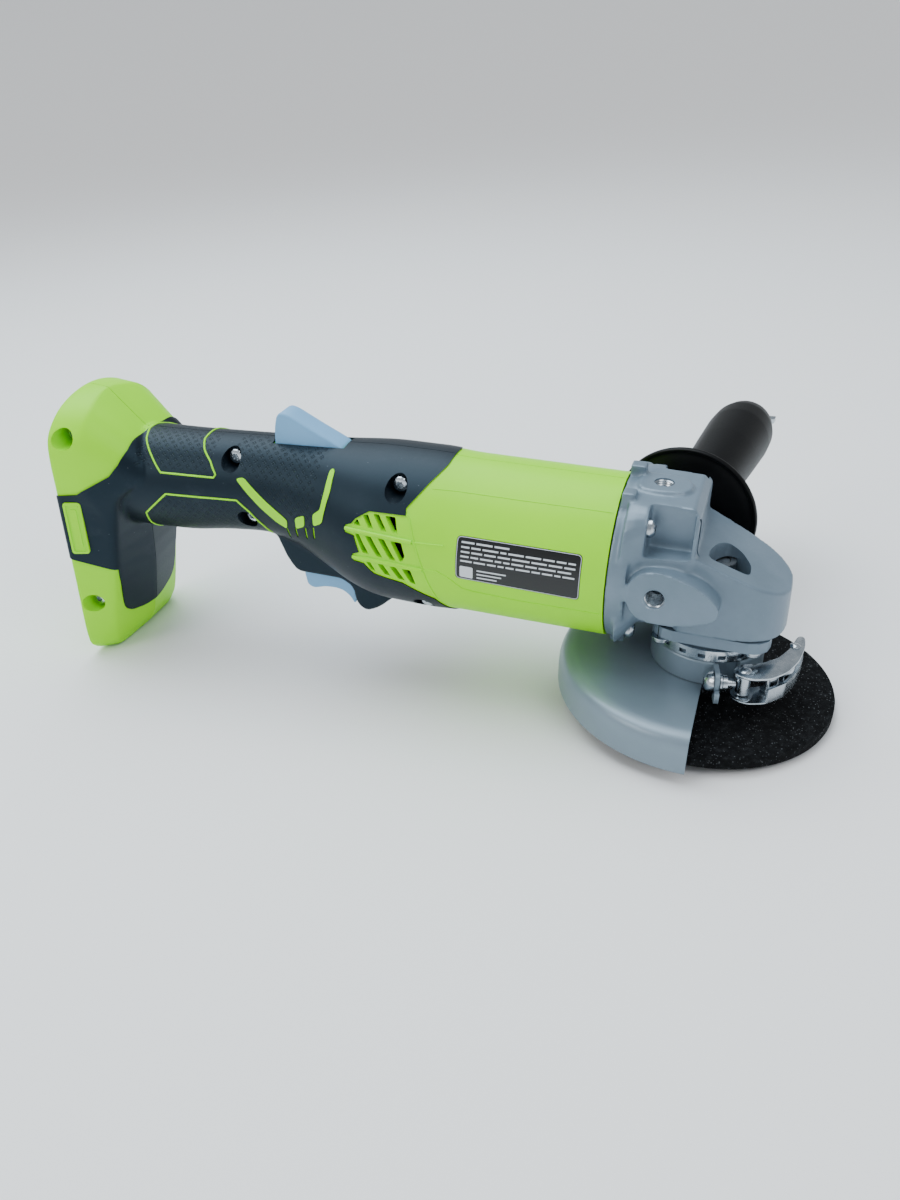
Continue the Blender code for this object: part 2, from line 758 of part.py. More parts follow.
def gear_head():
    bottom = [(x, y, CASE_BOTTOM) for x, y in head_outline(True)]
    top = [(x, y, head_top(x)) for x, y in head_outline(False)]
    return loft([bottom, top])


def case_block():
    """The block between the motor flange and the head, squarer than the flange."""
    rings = []
    for x, half, top, bottom, corner in (
        (-38.0, 33.5, 34.6, -33.0, 20.0),
        (-34.0, 32.0, 34.8, -27.0, 15.0),
        (-29.0, 30.5, 34.7, CASE_BOTTOM, 12.0),
        (-12.0, 28.0, 34.4, CASE_BOTTOM, 8.0),
        (-9.0, 26.0, 30.5, CASE_BOTTOM, 7.0),
    ):
        middle = (top + bottom) / 2
        outline = rounded_rectangle((top - bottom) / 2, half, corner, 4, (middle, 0))
        rings.append([(x, y, z) for z, y in outline])
    return loft(rings)


def make_gear_case(shop):
    case = shop.make("gear_case", rod(35.4, CASE_REAR, -35.0, 28), "cast_alloy", turn=X_UP)
    additions = (
        shop.cutter(case_block()),
        shop.cutter(gear_head()),
        shop.cutter(rod(12.0, -BOSS_FACE, BOSS_FACE, 20), (BOSS_X, 0, BOSS_Z), Y_AXIS),
        shop.cutter(rod(9.0, 10, 36.4, 16), (-27, 0, 0)),
        shop.cutter(rod(7.0, 18, 31), (8, 0, -11), Y_AXIS),
    )
    for addition in additions:
        boolean(case, addition, "UNION")
    cuts = [
        shop.cutter(rod(30.8, -50, -37.5, 24), turn=X_UP),
        shop.cutter(rod(11.4, -50, -27.2, 20), turn=X_UP),
        shop.cutter(rod(8.8, -50, -10.5, 16), turn=X_UP),
        shop.cutter(rod(GEAR_ROOM, -40, -2.6, 28)),
        shop.cutter(rod(6.9, -10, 5.2, 16)),
        shop.cutter(rod(4.2, 26, 50), (-27, 0, 0)),
        shop.cutter(rod(2.8, 15, 27.5, 12), (8, 0, -11), Y_AXIS),
        shop.cutter(rod(5.6, LOCK_BUTTON_SEAT, 40), (8, 0, -11), Y_AXIS),
    ]
    cuts.append(shop.cutter(rod(4.2, -50, -26), (BOSS_X, 0, BOSS_Z), Y_AXIS))
    cuts.append(shop.cutter(rod(4.2, -10, 10), HANDLE_START, handle_turn()))
    for side in (-1, 1):
        near, far = sorted((side * 19.0, side * 50.0))
        cuts.append(shop.cutter(block((-29, near, 15.5), (-12, far, 50))))
    for cutter in cuts:
        boolean(case, cutter)


def make_spindle(shop):
    spindle = (
        (0, 4.6),
        (4, 4.6),
        (4, -3.3),
        (SPINDLE_RADIUS, -3.3),
        (SPINDLE_RADIUS, -36.5),
        (9, -36.5),
        (9, -47.2),
        (THREAD_RADIUS, -47.2),
        (THREAD_RADIUS, -65.5),
        (0, -65.5),
    )
    shop.make("spindle", turned(spindle, 20), "steel")
    bearing(shop, "spindle_bearing_top", 4.3, 6.6, -2.3, 4.8)
    bearing(shop, "spindle_bearing_lower", SPINDLE_RADIUS + 0.3, 14.5, -36.2, -26.2)
    sleeve = ((6.3, -25.9), (9, -25.9), (9, -15.3), (6.3, -15.3))
    shop.make("gear_spacer", turned(sleeve, 16), "steel")


def make_bearing_cover(shop):
    outline = rounded_rectangle(24.5, 25.5, 9.0, 3, (1.5, 0))
    cover = shop.make("bearing_cover", prism(outline, -23.8, CASE_BOTTOM - GAP), "cast_alloy")
    neck = rod(NECK_RADIUS, -42.9, -23.0, 28)
    boolean(cover, shop.cutter(neck), "UNION")
    boolean(cover, shop.cutter(rod(14.8, -36.5, 0, 20)))
    boolean(cover, shop.cutter(rod(10.0, -60, -30, 20)))
    for number, (x, y) in enumerate(COVER_SCREWS, 1):
        boolean(cover, shop.cutter(rod(2.1, -60, 0, 8), (x, y, 0)))
        screw = turned(((0, -27.2), (2.4, -27.2), (3.4, -25.6), (3.4, -24.1), (1.8, -24.1), (1.8, -19.1), (0, -19.1)), 8)
        shop.make(f"cover_screw_{number}", screw, "zinc_steel", (x, y, 0))


# ---------------------------------------------------------------- guard, clamp and wheel


def make_guard(shop):
    top = GUARD_TOP
    profile = (
        (NECK_RADIUS + 0.4, top - GAP),
        (GUARD_RADIUS - 4.0, top - GAP),
        (GUARD_RADIUS - 1.0, top - 1.5),
        (GUARD_RADIUS, top - 4.5),
        (GUARD_RADIUS, GUARD_BOTTOM),
        (GUARD_RADIUS - SHEET, GUARD_BOTTOM),
        (GUARD_RADIUS - SHEET, top - 4.8),
        (GUARD_RADIUS - 4.0, top - GAP - SHEET),
        (NECK_RADIUS + 0.4, top - GAP - SHEET),
    )
    guard = shop.make("guard", turned(profile, 40), "guard_steel")
    boolean(guard, shop.cutter(block((1.0, -100, -100), (100, 100, 0))))
    inner = NECK_RADIUS + 0.3
    outer = inner + SHEET
    band = shop.make("guard_collar", prism(arc_band(inner, outer, -52, 282, 24), top, -32), "guard_steel")
    ear = shop.cutter(block((inner + 0.2, -1.0, top), (33.5, 1.0, -32)), turn=Matrix.Rotation(math.radians(-77), 4, "Z"))
    boolean(band, ear, "UNION")
    hole = shop.cutter(rod(2.3, -8, 8, 12), CLAMP_AXIS_POINT, clamp_turn())
    boolean(band, hole)
    ring = ((NECK_RADIUS + 0.3, -31.6), (NECK_RADIUS + 1.8, -31.6), (NECK_RADIUS + 1.8, -26.6), (NECK_RADIUS + 0.3, -26.6))
    shop.make("index_ring", turned(ring, 24), "zinc_steel")


def clamp_turn():
    """Turns +Z onto the line from the collar's ear to the lever's pin."""
    along = Vector((LEVER_PIN.x, LEVER_PIN.y, CLAMP_AXIS_POINT.z)) - CLAMP_AXIS_POINT
    return along.to_track_quat("Z", "Y").to_matrix().to_4x4()


def make_clamp(shop):
    reach = (Vector((LEVER_PIN.x, LEVER_PIN.y, CLAMP_AXIS_POINT.z)) - CLAMP_AXIS_POINT).length
    bolt = turned(
        (
            (0, -5.2),
            (2.6, -4.8),
            (4.6, -3.0),
            (5.0, -1.6),
            (1.9, -1.6),
            (1.9, reach - 3.4),
            (0, reach - 3.4),
        ),
        12,
    )
    shop.make("clamp_bolt", bolt, "zinc_steel", CLAMP_AXIS_POINT, clamp_turn())
    shop.make("lever_pin", rod(3.0, -42.4, -32.6, 16), "zinc_steel", LEVER_PIN)
    make_clamp_lever(shop)


def lever_plan():
    """Plan of the quick lever, curved round the collar, about its pin."""
    outer = ((13.4, -30.6), (20.0, -32.6), (28.0, -29.5), (34.5, -22.0), (38.6, -12.0), (40.6, 0.0), (40.2, 8.0))
    inner = ((37.2, 8.0), (34.5, -3.0), (30.0, -12.5), (23.5, -19.0), (17.0, -21.8), (13.2, -25.4))
    return [(x - LEVER_PIN.x, y - LEVER_PIN.y) for x, y in outer + inner]


def make_clamp_lever(shop):
    lever = shop.make("clamp_lever", prism(lever_plan(), -44.6, -31.0), "zinc_steel", LEVER_PIN)
    room = shop.cutter(block((-6, -9, -42.9), (10.5, 9, -32.2)), LEVER_PIN)
    boolean(lever, room)
    slot = shop.cutter(block((9.5, -5, -42.9), (40, 60, -38.5)), LEVER_PIN)
    boolean(lever, slot)


def make_wheel(shop):
    top = WHEEL_TOP
    hub = top + HUB_RAISE
    flange = (
        (THREAD_RADIUS + 0.3, -47.5),
        (17.5, -47.5),
        (19.5, -49.0),
        (19.5, hub + GAP),
        (10.8, hub + GAP),
        (10.8, hub - 2.5),
        (THREAD_RADIUS + 0.3, hub - 2.5),
    )
    shop.make("inner_flange", turned(flange, 20), "zinc_steel")
    wheel = (
        (11.1, hub),
        (22.0, hub),
        (29.0, top),
        (WHEEL_RADIUS, top),
        (WHEEL_RADIUS, top - WHEEL_THICKNESS),
        (31.0, top - WHEEL_THICKNESS),
        (23.0, hub - WHEEL_THICKNESS),
        (11.1, hub - WHEEL_THICKNESS),
    )
    shop.make("grinding_wheel", turned(wheel, 40), "abrasive")
    under = hub - WHEEL_THICKNESS - GAP
    nut = (
        (THREAD_RADIUS + 0.3, under),
        (19.0, under),
        (19.0, under - 3.0),
        (15.0, under - 6.0),
        (THREAD_RADIUS + 0.3, under - 6.0),
    )
    shop.make("wheel_nut", turned(nut, 20), "zinc_steel")


# ---------------------------------------------------------------- side handle and lock button


def handle_turn():
    return HANDLE_LEAN.to_track_quat("Z", "Y").to_matrix().to_4x4()


def make_side_handle(shop):
    """The handle moulding with its hand disc, its stud, and the pin spanner kept inside it."""
    grip = (
        (4.4, 2.2),
        (8.0, 2.2),
        (9.5, 6.0),
        (HANDLE_DISC, 9.4),
        (HANDLE_DISC, 11.4),
        (14.5, 13.5),
        (13.5, 22.0),
        (14.5, 45.0),
        (16.2, 80.0),
        (17.1, 106.0),
        (16.6, 118.0),
        (14.5, 126.5),
        (12.0, HANDLE_LENGTH),
        (7.6, HANDLE_LENGTH),
        (7.6, 34.0),
        (4.4, 34.0),
    )
    shop.make("side_handle", turned(grip, 20), "black_plastic", HANDLE_START, handle_turn())
    shop.make("handle_stud", rod(3.8, -8.0, 30.0, 12), "zinc_steel", HANDLE_START, handle_turn())
    spanner = ((-5.5, 66.0), (5.5, 66.0), (5.5, 137.0), (13.0, 139.0), (13.0, 144.0), (3.5, 142.5))
    outline = spanner + tuple((-x, y) for x, y in reversed(spanner[2:]))
    shop.make("pin_spanner", side_prism(outline, 1.4), "zinc_steel", HANDLE_START, handle_turn())


def make_lock_button(shop):
    button = ((0, 25.6), (2.4, 25.6), (2.4, 29.5), (5.2, 29.5), (5.2, 34.5), (4.2, 35.6), (0, 35.6))
    shop.make("lock_button", turned(button, 12), "black_plastic", (8, 0, -11), Y_AXIS)


# ---------------------------------------------------------------- stance


def stand_on_floor(shop):
    """Tilts the tool nose down about Y until wheel rim and foot share one floor, then centres it."""
    rim = Vector((WHEEL_RADIUS, 0, WHEEL_TOP - WHEEL_THICKNESS))
    heel = Vector((FOOT_HEEL_X, 0, FOOT_BOTTOM))
    pitch = math.atan2(rim.z - heel.z, rim.x - heel.x)
    shop.frame.rotation_euler = (0, pitch, 0)
    bpy.context.view_layer.update()
    graph = bpy.context.evaluated_depsgraph_get()
    spots = []
    for piece in shop.pieces:
        solid = piece.evaluated_get(graph)
        mesh = solid.to_mesh()
        spots += [solid.matrix_world @ vertex.co for vertex in mesh.vertices]
        solid.to_mesh_clear()
    low = Vector([min(spot[i] for spot in spots) for i in range(3)])
    high = Vector([max(spot[i] for spot in spots) for i in range(3)])
    middle = (low + high) / 2
    shop.frame.location = (-middle.x, -middle.y, -low.z)
    bpy.context.view_layer.update()


def main():
    shop = Workshop()
    make_housing(shop)
    make_grip(shop)
    make_housing_screws(shop)
    make_contacts(shop)
    make_switch(shop)
    make_trigger(shop)
    make_lock_off(shop)
    make_motor(shop)
    make_gears(shop)
    make_gear_case(shop)
    make_spindle(shop)
    make_bearing_cover(shop)
    make_guard(shop)
    make_clamp(shop)
    make_wheel(shop)
    make_side_handle(shop)
    make_lock_button(shop)
    stand_on_floor(shop)


main()
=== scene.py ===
import json
import math

import bmesh
import bpy
import numpy as np
from mathutils import Matrix, Vector


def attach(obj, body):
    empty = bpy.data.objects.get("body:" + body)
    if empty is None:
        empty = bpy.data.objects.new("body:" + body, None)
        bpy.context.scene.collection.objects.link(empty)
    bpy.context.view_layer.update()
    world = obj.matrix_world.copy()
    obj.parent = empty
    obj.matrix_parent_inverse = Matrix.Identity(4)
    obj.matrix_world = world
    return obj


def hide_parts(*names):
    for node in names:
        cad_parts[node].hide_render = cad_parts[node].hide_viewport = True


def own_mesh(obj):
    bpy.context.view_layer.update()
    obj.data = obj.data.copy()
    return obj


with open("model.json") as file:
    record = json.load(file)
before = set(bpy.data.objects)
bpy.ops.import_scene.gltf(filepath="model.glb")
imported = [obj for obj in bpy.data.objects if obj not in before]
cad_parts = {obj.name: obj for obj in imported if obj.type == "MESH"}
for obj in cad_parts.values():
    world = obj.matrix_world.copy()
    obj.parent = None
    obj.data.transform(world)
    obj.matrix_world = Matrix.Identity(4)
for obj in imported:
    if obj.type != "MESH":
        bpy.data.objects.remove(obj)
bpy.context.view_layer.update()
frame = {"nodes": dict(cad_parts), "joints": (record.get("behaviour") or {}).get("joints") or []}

MM = 0.001


def tool_frame():
    """The tool's own frame: origin where the spindle and motor axes meet, X along the motor, Z up the spindle."""
    spin = next(joint for joint in frame["joints"] if joint["name"] == "spindle_spin")
    up = Vector(spin["axis"]).normalized()
    side = Vector((0, 1, 0))
    matrix = Matrix((side.cross(up), side, up)).transposed().to_4x4()
    matrix.translation = Vector(spin["pos_m"])
    return matrix


TOOL = tool_frame()

# ---------------------------------------------------------------- sizes, in millimetres in the tool's frame

BODY_STATIONS = np.array((
    (-293.0, 24.5, 29.4, -20.6),
    (-262.0, 23.4, 30.2, -19.6),
    (-250.0, 22.8, 30.6, -19.0),
    (-232.0, 21.8, 31.6, -15.9),
    (-213.0, 21.4, 32.7, -13.9),
    (-204.0, 21.8, 33.2, -14.2),
    (-190.0, 23.8, 33.9, -18.0),
    (-175.0, 28.2, 34.6, -26.5),
    (-162.0, 33.0, 35.6, -32.6),
    (-150.0, 36.0, 36.5, -35.9),
    (-122.0, 36.6, 36.6, -36.6),
    (-112.0, 35.8, 35.8, -35.8),
    (-42.6, 35.8, 35.8, -35.8),
))
HOUSING_FRONT = -42.6
FOOT_REAR = -307.5
WALL = 3.0
SEAM = 0.15
FOOT_ROWS = np.array((
    (0, 48.2, -295.2, 0, 47.5, -277.0, 0, 30.5, -277.0),
    (12.0, 46.9, -293.5, 11.5, 45.9, -275.0, 8.0, 29.8, -275.0),
    (23.0, 43.2, -291.8, 20.5, 42.8, -272.0, 15.5, 27.0, -272.0),
    (31.0, 37.5, -291.8, 28.5, 36.0, -269.0, 20.5, 21.0, -269.0),
    (35.2, 31.5, -292.5, 32.0, 28.5, -267.0, 23.0, 14.0, -267.0),
    (36.5, 22.0, -293.8, 33.2, 18.5, -271.0, 25.2, 9.0, -270.0),
    (36.5, 8.0, -291.0, 33.0, 4.0, -279.5, 28.0, 2.0, -279.0),
    (36.5, -12.0, -285.5, 29.0, -12.0, -283.5, 27.5, -12.0, -283.0),
    (36.5, -45.0, -290.8, 29.0, -45.0, -288.9, 27.5, -45.0, -285.0),
    (36.5, -76.0, -295.6, 29.0, -76.0, -294.0, 27.5, -75.0, -290.0),
    (33.3, -83.8, -297.2, 26.5, -83.8, -295.7, 25.0, -82.5, -293.0),
    (25.5, -87.0, -297.8, 20.0, -87.0, -296.3, 19.5, -85.5, -295.5),
    (0, -87.0, -297.8, 0, -87.0, -295.8, 0, -85.5, -295.8),
))
SCREW_SEATS = (
    (-300.0, 32.0, -22.0),
    (-301.0, -56.5, -26.0),
    (-222.0, 25.5, -8.5),
    (-214.6, -2.0, -12.0),
    (-137.0, 27.5, -17.0),
    (-125.0, -28.0, -17.0),
)
SCREW_WELL = 4.9
WEB_OUTLINE = (
    (-208, -4), (-200, -23.5), (-195.4, -30.3), (-172, -30.3), (-166.2, -34), (-164.4, -43),
    (-159.5, -46.2), (-153, -43), (-146, -36.5), (-136, -29), (-134, -8),
)
WEB_HALF = 12.0
RUBBER_FRONT = (
    (-113, 60), (-117.5, 38), (-118.3, 35.5), (-123.1, 30.8), (-130.7, 21.7), (-130.1, 19.2), (-147.1, 18.7),
    (-153, 14.9), (-155, 12.4), (-158.2, 11.1), (-158.2, 7.8), (-153.6, 7.4), (-151, 0.1), (-154.4, -1.4),
    (-154.4, -5.0), (-148.9, -5.2), (-147, -7.4), (-144.4, -9.9), (-139.3, -11.2), (-131.3, -12.6),
    (-123.9, -16.9), (-117.5, -20.6), (-113, -30), (-108, -44), (-106, -60), (-20, -60), (-20, 60),
)
VENT_OPENINGS = (
    ((-154.1, 12.2), (-152.3, 14.6), (-150.2, 12.0), (-152.3, 11.6)),
    ((-149.9, 16.4), (-147.5, 17.2), (-144.1, 11.6), (-146.6, 11.6)),
    ((-145.0, 17.7), (-142.4, 17.8), (-137.8, 11.4), (-140.6, 11.4)),
    ((-139.6, 17.7), (-134.8, 17.8), (-132.8, 11.2), (-135.2, 11.4)),
    ((-153.0, 8.4), (-151.0, 8.4), (-145.9, -0.2), (-149.2, 0.2)),
    ((-148.0, 8.3), (-145.2, 8.3), (-139.6, -0.5), (-142.4, -0.3)),
    ((-141.9, 8.1), (-139.1, 8.1), (-133.4, -0.9), (-136.2, -0.8)),
    ((-136.1, 7.9), (-131.0, 7.8), (-129.2, 2.0), (-130.6, -0.8), (-131.4, -0.8)),
    ((-147.8, -4.2), (-145.8, -3.9), (-143.4, -8.4), (-145.6, -7.8)),
    ((-142.3, -4.1), (-139.6, -4.1), (-136.4, -9.6), (-139.4, -9.3)),
    ((-136.6, -4.3), (-133.7, -4.3), (-129.8, -10.9), (-133.0, -10.5)),
    ((-130.9, -4.5), (-126.9, -4.5), (-124.9, -12.2), (-127.3, -11.6)),
)
LIME_SLASHES = (
    ((-217.9, 18.9), (-214.0, 19.8), (-202.7, 11.2), (-191.2, 3.5), (-192.4, -1.6), (-197.5, 0.6), (-205.0, 6.7)),
    ((-186.3, 6.3), (-180.9, 9.0), (-181.1, 3.5), (-186.5, 0.5)),
    ((-170.6, 29.6), (-168.2, 29.6), (-167.9, 22.4), (-170.9, 8.1), (-175.7, 5.4), (-176.1, 10.8), (-172.1, 13.9),
     (-170.9, 21.9)),
)
UPPER_PIPING = (
    (-239.9, 29.9), (-237.4, 27.3), (-232.3, 23.6), (-228.6, 18.9), (-229.5, 17.5), (-242.1, 17.0), (-257.3, 16.5),
    (-263.8, 22.6), (-267.2, 25.4), (-270.1, 27.7), (-271.7, 29.3), (-272.4, 29.7),
)
LOWER_PIPING = (
    (-204.8, -9.0), (-206.6, -4.2), (-212.0, 3.7), (-217.7, 8.7), (-237.1, 7.6), (-254.8, 7.0), (-268.5, -5.3),
    (-270.1, -12.8),
)
GUARD_RADIUS = 65.0
GUARD_TOP = -43.0
GUARD_BOTTOM = -61.3
NECK_RADIUS = 22.2
CLAMP_EAR = Vector((6.8, -29.4, -37.5))
LEVER_PIN = Vector((17.6, -26.9, 0.0))
HANDLE_START = Vector((-22.0, 36.0, 1.0))
HANDLE_LEAN = Vector((0.15, 1.0, 0.03))
HANDLE_END = 131.0
EAR_TURN = -77.0
RING_SLOTS = 18
COIL_WIRE = 0.4
COIL_STEPS = 24
RUBBER = 0.55
FOOT_RUBBER = 0.85
WELL_LINING = 0.7
PIPING_RADIUS = 0.48
THREAD_BORE = 4.2
FLOOR_DROP = 0.0004
FLOOR_RADIUS = 3.0
BACKDROP_CURVE = 14.0
BACKDROP_TILT = 36.0

# ---------------------------------------------------------------- shop tools


def stood(name, mesh):
    """An object that holds the mesh, standing in the tool's frame."""
    piece = bpy.data.objects.new(name, mesh)
    bpy.context.scene.collection.objects.link(piece)
    piece.matrix_world = TOOL
    return piece


def make(name, points, faces):
    """A piece from points in millimetres in the tool's frame."""
    mesh = bpy.data.meshes.new(name)
    mesh.from_pydata([tuple(float(c) * MM for c in point) for point in points], [], faces)
    shape = bmesh.new()
    shape.from_mesh(mesh)
    bmesh.ops.remove_doubles(shape, verts=shape.verts, dist=1e-6)
    bmesh.ops.recalc_face_normals(shape, faces=shape.faces)
    shape.to_mesh(mesh)
    shape.free()
    return stood(name, mesh)


def loft(name, rows, capped=True):
    """A skin through rings of points; the end rings are closed flat."""
    rows = np.asarray(rows, float)
    count, sides = rows.shape[:2]
    faces = []
    for i in range(count - 1):
        for j in range(sides):
            k = (j + 1) % sides
            faces.append((i * sides + j, i * sides + k, (i + 1) * sides + k, (i + 1) * sides + j))
    if capped:
        faces.append(tuple(range(sides)))
        faces.append(tuple((count - 1) * sides + j for j in reversed(range(sides))))
    return make(name, rows.reshape(-1, 3), faces)


def eased(outline, radius, steps=4, closed=True):
    """The outline with each corner rounded off over the given length."""
    points = [np.array(point, float) for point in outline]
    count = len(points)
    result = []
    for i, corner in enumerate(points):
        if not closed and i in (0, count - 1):
            result.append(tuple(corner))
            continue
        before = points[i - 1] - corner
        after = points[(i + 1) % count] - corner
        long_before = max(np.linalg.norm(before), 1e-6)
        long_after = max(np.linalg.norm(after), 1e-6)
        start = corner + before * min(radius / long_before, 0.48)
        end = corner + after * min(radius / long_after, 0.48)
        for step in range(steps + 1):
            t = step / steps
            result.append(tuple(start * (1 - t) ** 2 + corner * 2 * t * (1 - t) + end * t * t))
    return result


def prism(name, outline, low, high, along="y"):
    """The outline drawn out along one of the tool's axes."""
    orders = {"x": lambda a, b, c: (c, a, b), "y": lambda a, b, c: (a, c, b), "z": lambda a, b, c: (a, b, c)}
    order = orders[along]
    return loft(name, [[order(a, b, level) for a, b in outline] for level in (low, high)])


def block(name, low, high):
    outline = ((low[0], low[1]), (high[0], low[1]), (high[0], high[1]), (low[0], high[1]))
    return prism(name, outline, low[2], high[2], "z")


def turned(name, profile, sides=64, place=None, start=0.0, sweep=360.0):
    """A closed profile of (radius, height) turned about an axis, all the way or part of it."""
    whole = sweep >= 360.0
    count = sides if whole else sides + 1
    angles = [math.radians(start + sweep * i / sides) for i in range(count)]
    rows = [[(r * math.cos(a), r * math.sin(a), h) for r, h in profile] for a in angles]
    if whole:
        points = [point for row in rows for point in row]
        around = len(profile)
        faces = []
        for i in range(count):
            for j in range(around):
                a, b = i * around, ((i + 1) % count) * around
                k = (j + 1) % around
                faces.append((a + j, a + k, b + k, b + j))
        piece = make(name, points, faces)
    else:
        piece = loft(name, rows)
    return placed(piece, place) if place is not None else piece


def placed(piece, place):
    """Moves a piece's mesh by a matrix whose translation is in millimetres."""
    matrix = place.copy()
    matrix.translation = matrix.translation * MM
    piece.data.transform(matrix)
    return piece


def ring(radius, height, sides):
    return [(radius * math.cos(a), radius * math.sin(a), height)
            for a in np.linspace(0, 2 * math.pi, sides + 1)[:-1]]


def placing(axis, point=(0, 0, 0)):
    """Turns +Z onto an axis and moves the origin to a point."""
    matrix = Vector(axis).to_track_quat("Z", "Y").to_matrix().to_4x4()
    matrix.translation = Vector(point)
    return matrix


def across(x, z, y=0):
    """Turns +Z onto the side-to-side axis, at a point."""
    return placing((0, 1, 0), (x, y, z))


def both_sides(name, outline, near, far):
    """The outline drawn out on the right side, and again on the left."""
    return [prism(name, outline, -far, -near), prism(name, outline, near, far)]


def drop(piece):
    mesh = piece.data
    bpy.data.objects.remove(piece)
    bpy.data.meshes.remove(mesh)


def freeze(piece):
    """Keeps the shape that the modifiers give, and takes the modifiers away."""
    graph = bpy.context.evaluated_depsgraph_get()
    graph.update()
    mesh = bpy.data.meshes.new_from_object(piece.evaluated_get(graph))
    old = piece.data
    piece.modifiers.clear()
    piece.data = mesh
    bpy.data.meshes.remove(old)
    return piece


def shaped(piece, operation, others):
    """One boolean of the piece with several closed shapes, which are used up."""
    tray = bpy.data.collections.new("tray")
    bpy.context.scene.collection.children.link(tray)
    for other in others:
        tray.objects.link(other)
    step = piece.modifiers.new("shape", "BOOLEAN")
    step.solver = "EXACT"
    step.operation = operation
    step.operand_type = "COLLECTION"
    step.collection = tray
    freeze(piece)
    bpy.data.collections.remove(tray)
    for other in others:
        drop(other)
    return piece


def cut(piece, *others):
    return shaped(piece, "DIFFERENCE", others)


def fused(piece, *others):
    return shaped(piece, "UNION", others)


def kept(piece, other):
    """The part of the piece that lies inside one other shape."""
    step = piece.modifiers.new("keep", "BOOLEAN")
    step.solver = "EXACT"
    step.operation = "INTERSECT"
    step.object = other
    freeze(piece)
    drop(other)
    return piece


def joined(name, pieces):
    """Several meshes as one piece."""
    shape = bmesh.new()
    for piece in pieces:
        shape.from_mesh(piece.data)
    mesh = bpy.data.meshes.new(name)
    shape.to_mesh(mesh)
    shape.free()
    for piece in pieces:
        drop(piece)
    return stood(name, mesh)


def copied(piece, name):
    return stood(name, piece.data.copy())


def softened(piece, width, segments=3, angle=30):
    """Rounds the piece's edges."""
    step = piece.modifiers.new("soft", "BEVEL")
    step.width = width * MM
    step.segments = segments
    step.limit_method = "ANGLE"
    step.angle_limit = math.radians(angle)
    return freeze(piece)


def cast(piece, grain, rounds):
    """Runs the shapes together with rounded inner corners, as a casting or moulding has."""
    step = piece.modifiers.new("cast", "REMESH")
    step.mode = "VOXEL"
    step.voxel_size = grain * MM
    ease = piece.modifiers.new("ease", "SMOOTH")
    ease.factor = 0.5
    ease.iterations = rounds
    return freeze(piece)


def tube(name, points, radius, closed=False):
    """A round strip along points in millimetres."""
    curve = bpy.data.curves.new(name, "CURVE")
    curve.dimensions = "3D"
    line = curve.splines.new("POLY")
    line.points.add(len(points) - 1)
    for spot, point in zip(line.points, points):
        spot.co = (*[float(c) * MM for c in point], 1)
    line.use_cyclic_u = closed
    curve.bevel_depth = radius * MM
    curve.bevel_resolution = 2
    curve.use_fill_caps = True
    holder = bpy.data.objects.new(name, curve)
    bpy.context.scene.collection.objects.link(holder)
    graph = bpy.context.evaluated_depsgraph_get()
    mesh = bpy.data.meshes.new_from_object(holder.evaluated_get(graph))
    bpy.data.objects.remove(holder)
    bpy.data.curves.remove(curve)
    return stood(name, mesh)


def fit(piece, body, slot, nodes=(), sharp=32.0):
    """Gives a finished piece its shading, material, body and the CAD nodes that it stands for."""
    piece.data.shade_smooth()
    piece.data.set_sharp_from_angle(angle=math.radians(sharp))
    piece.data.materials.clear()
    piece.data.materials.append(FINISHES[slot])
    piece.data.transform(piece.matrix_world)
    piece.matrix_world = Matrix.Identity(4)
    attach(piece, body)
    if nodes:
        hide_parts(*nodes)
    return piece


# ---------------------------------------------------------------- finishes


def new_group(name, inputs, outputs):
    """An empty shader node group with named sockets."""
    group = bpy.data.node_groups.new(name, "ShaderNodeTree")
    for label, kind, value in inputs:
        socket = group.interface.new_socket(label, in_out="INPUT", socket_type=kind)
        if value is not None:
            socket.default_value = value
    for label, kind in outputs:
        group.interface.new_socket(label, in_out="OUTPUT", socket_type=kind)
    return group, group.nodes.new("NodeGroupInput"), group.nodes.new("NodeGroupOutput")


class Wiring:
    """Adds and links the nodes of one material or group."""

    def __init__(self, tree):
        self.tree = tree

    def set(self, socket, value):
        if isinstance(value, bpy.types.NodeSocket):
            self.tree.links.new(value, socket)
        else:
            socket.default_value = value

    def add(self, kind, settings=None, **inputs):
        node = self.tree.nodes.new(kind)
        for key, value in (settings or {}).items():
            setattr(node, key, value)
        for key, value in inputs.items():
            self.set(node.inputs[key.replace("_", " ")], value)
        return node

    def math(self, operation, *values):
        node = self.tree.nodes.new("ShaderNodeMath")
        node.operation = operation
        for socket, value in zip(node.inputs, values):
            self.set(socket, value)
        return node.outputs[0]

    def times(self, first, second):
        return self.math("MULTIPLY", first, second)

    def plus(self, first, second):
        return self.math("ADD", first, second)

    def minus(self, first, second):
        return self.math("SUBTRACT", first, second)

    def larger(self, first, second):
        return self.math("MAXIMUM", first, second)

    def smaller(self, first, second):
        return self.math("MINIMUM", first, second)

    def ramp(self, value, low, high, start=0.0, end=1.0):
        node = self.tree.nodes.new("ShaderNodeMapRange")
        node.interpolation_type = "SMOOTHSTEP"
        for label, number in (("From Min", low), ("From Max", high), ("To Min", start), ("To Max", end)):
            node.inputs[label].default_value = number
        self.set(node.inputs["Value"], value)
        return node.outputs["Result"]

    def mix(self, share, first, second):
        node = self.tree.nodes.new("ShaderNodeMix")
        node.data_type = "RGBA"
        self.set(node.inputs[0], share)
        self.set(node.inputs[6], first)
        self.set(node.inputs[7], second)
        return node.outputs[2]

    def noise(self, spot, scale, detail=3.0, rough=0.55):
        node = self.add("ShaderNodeTexNoise", Vector=spot, Scale=scale, Detail=detail, Roughness=rough)
        return node.outputs["Fac"]


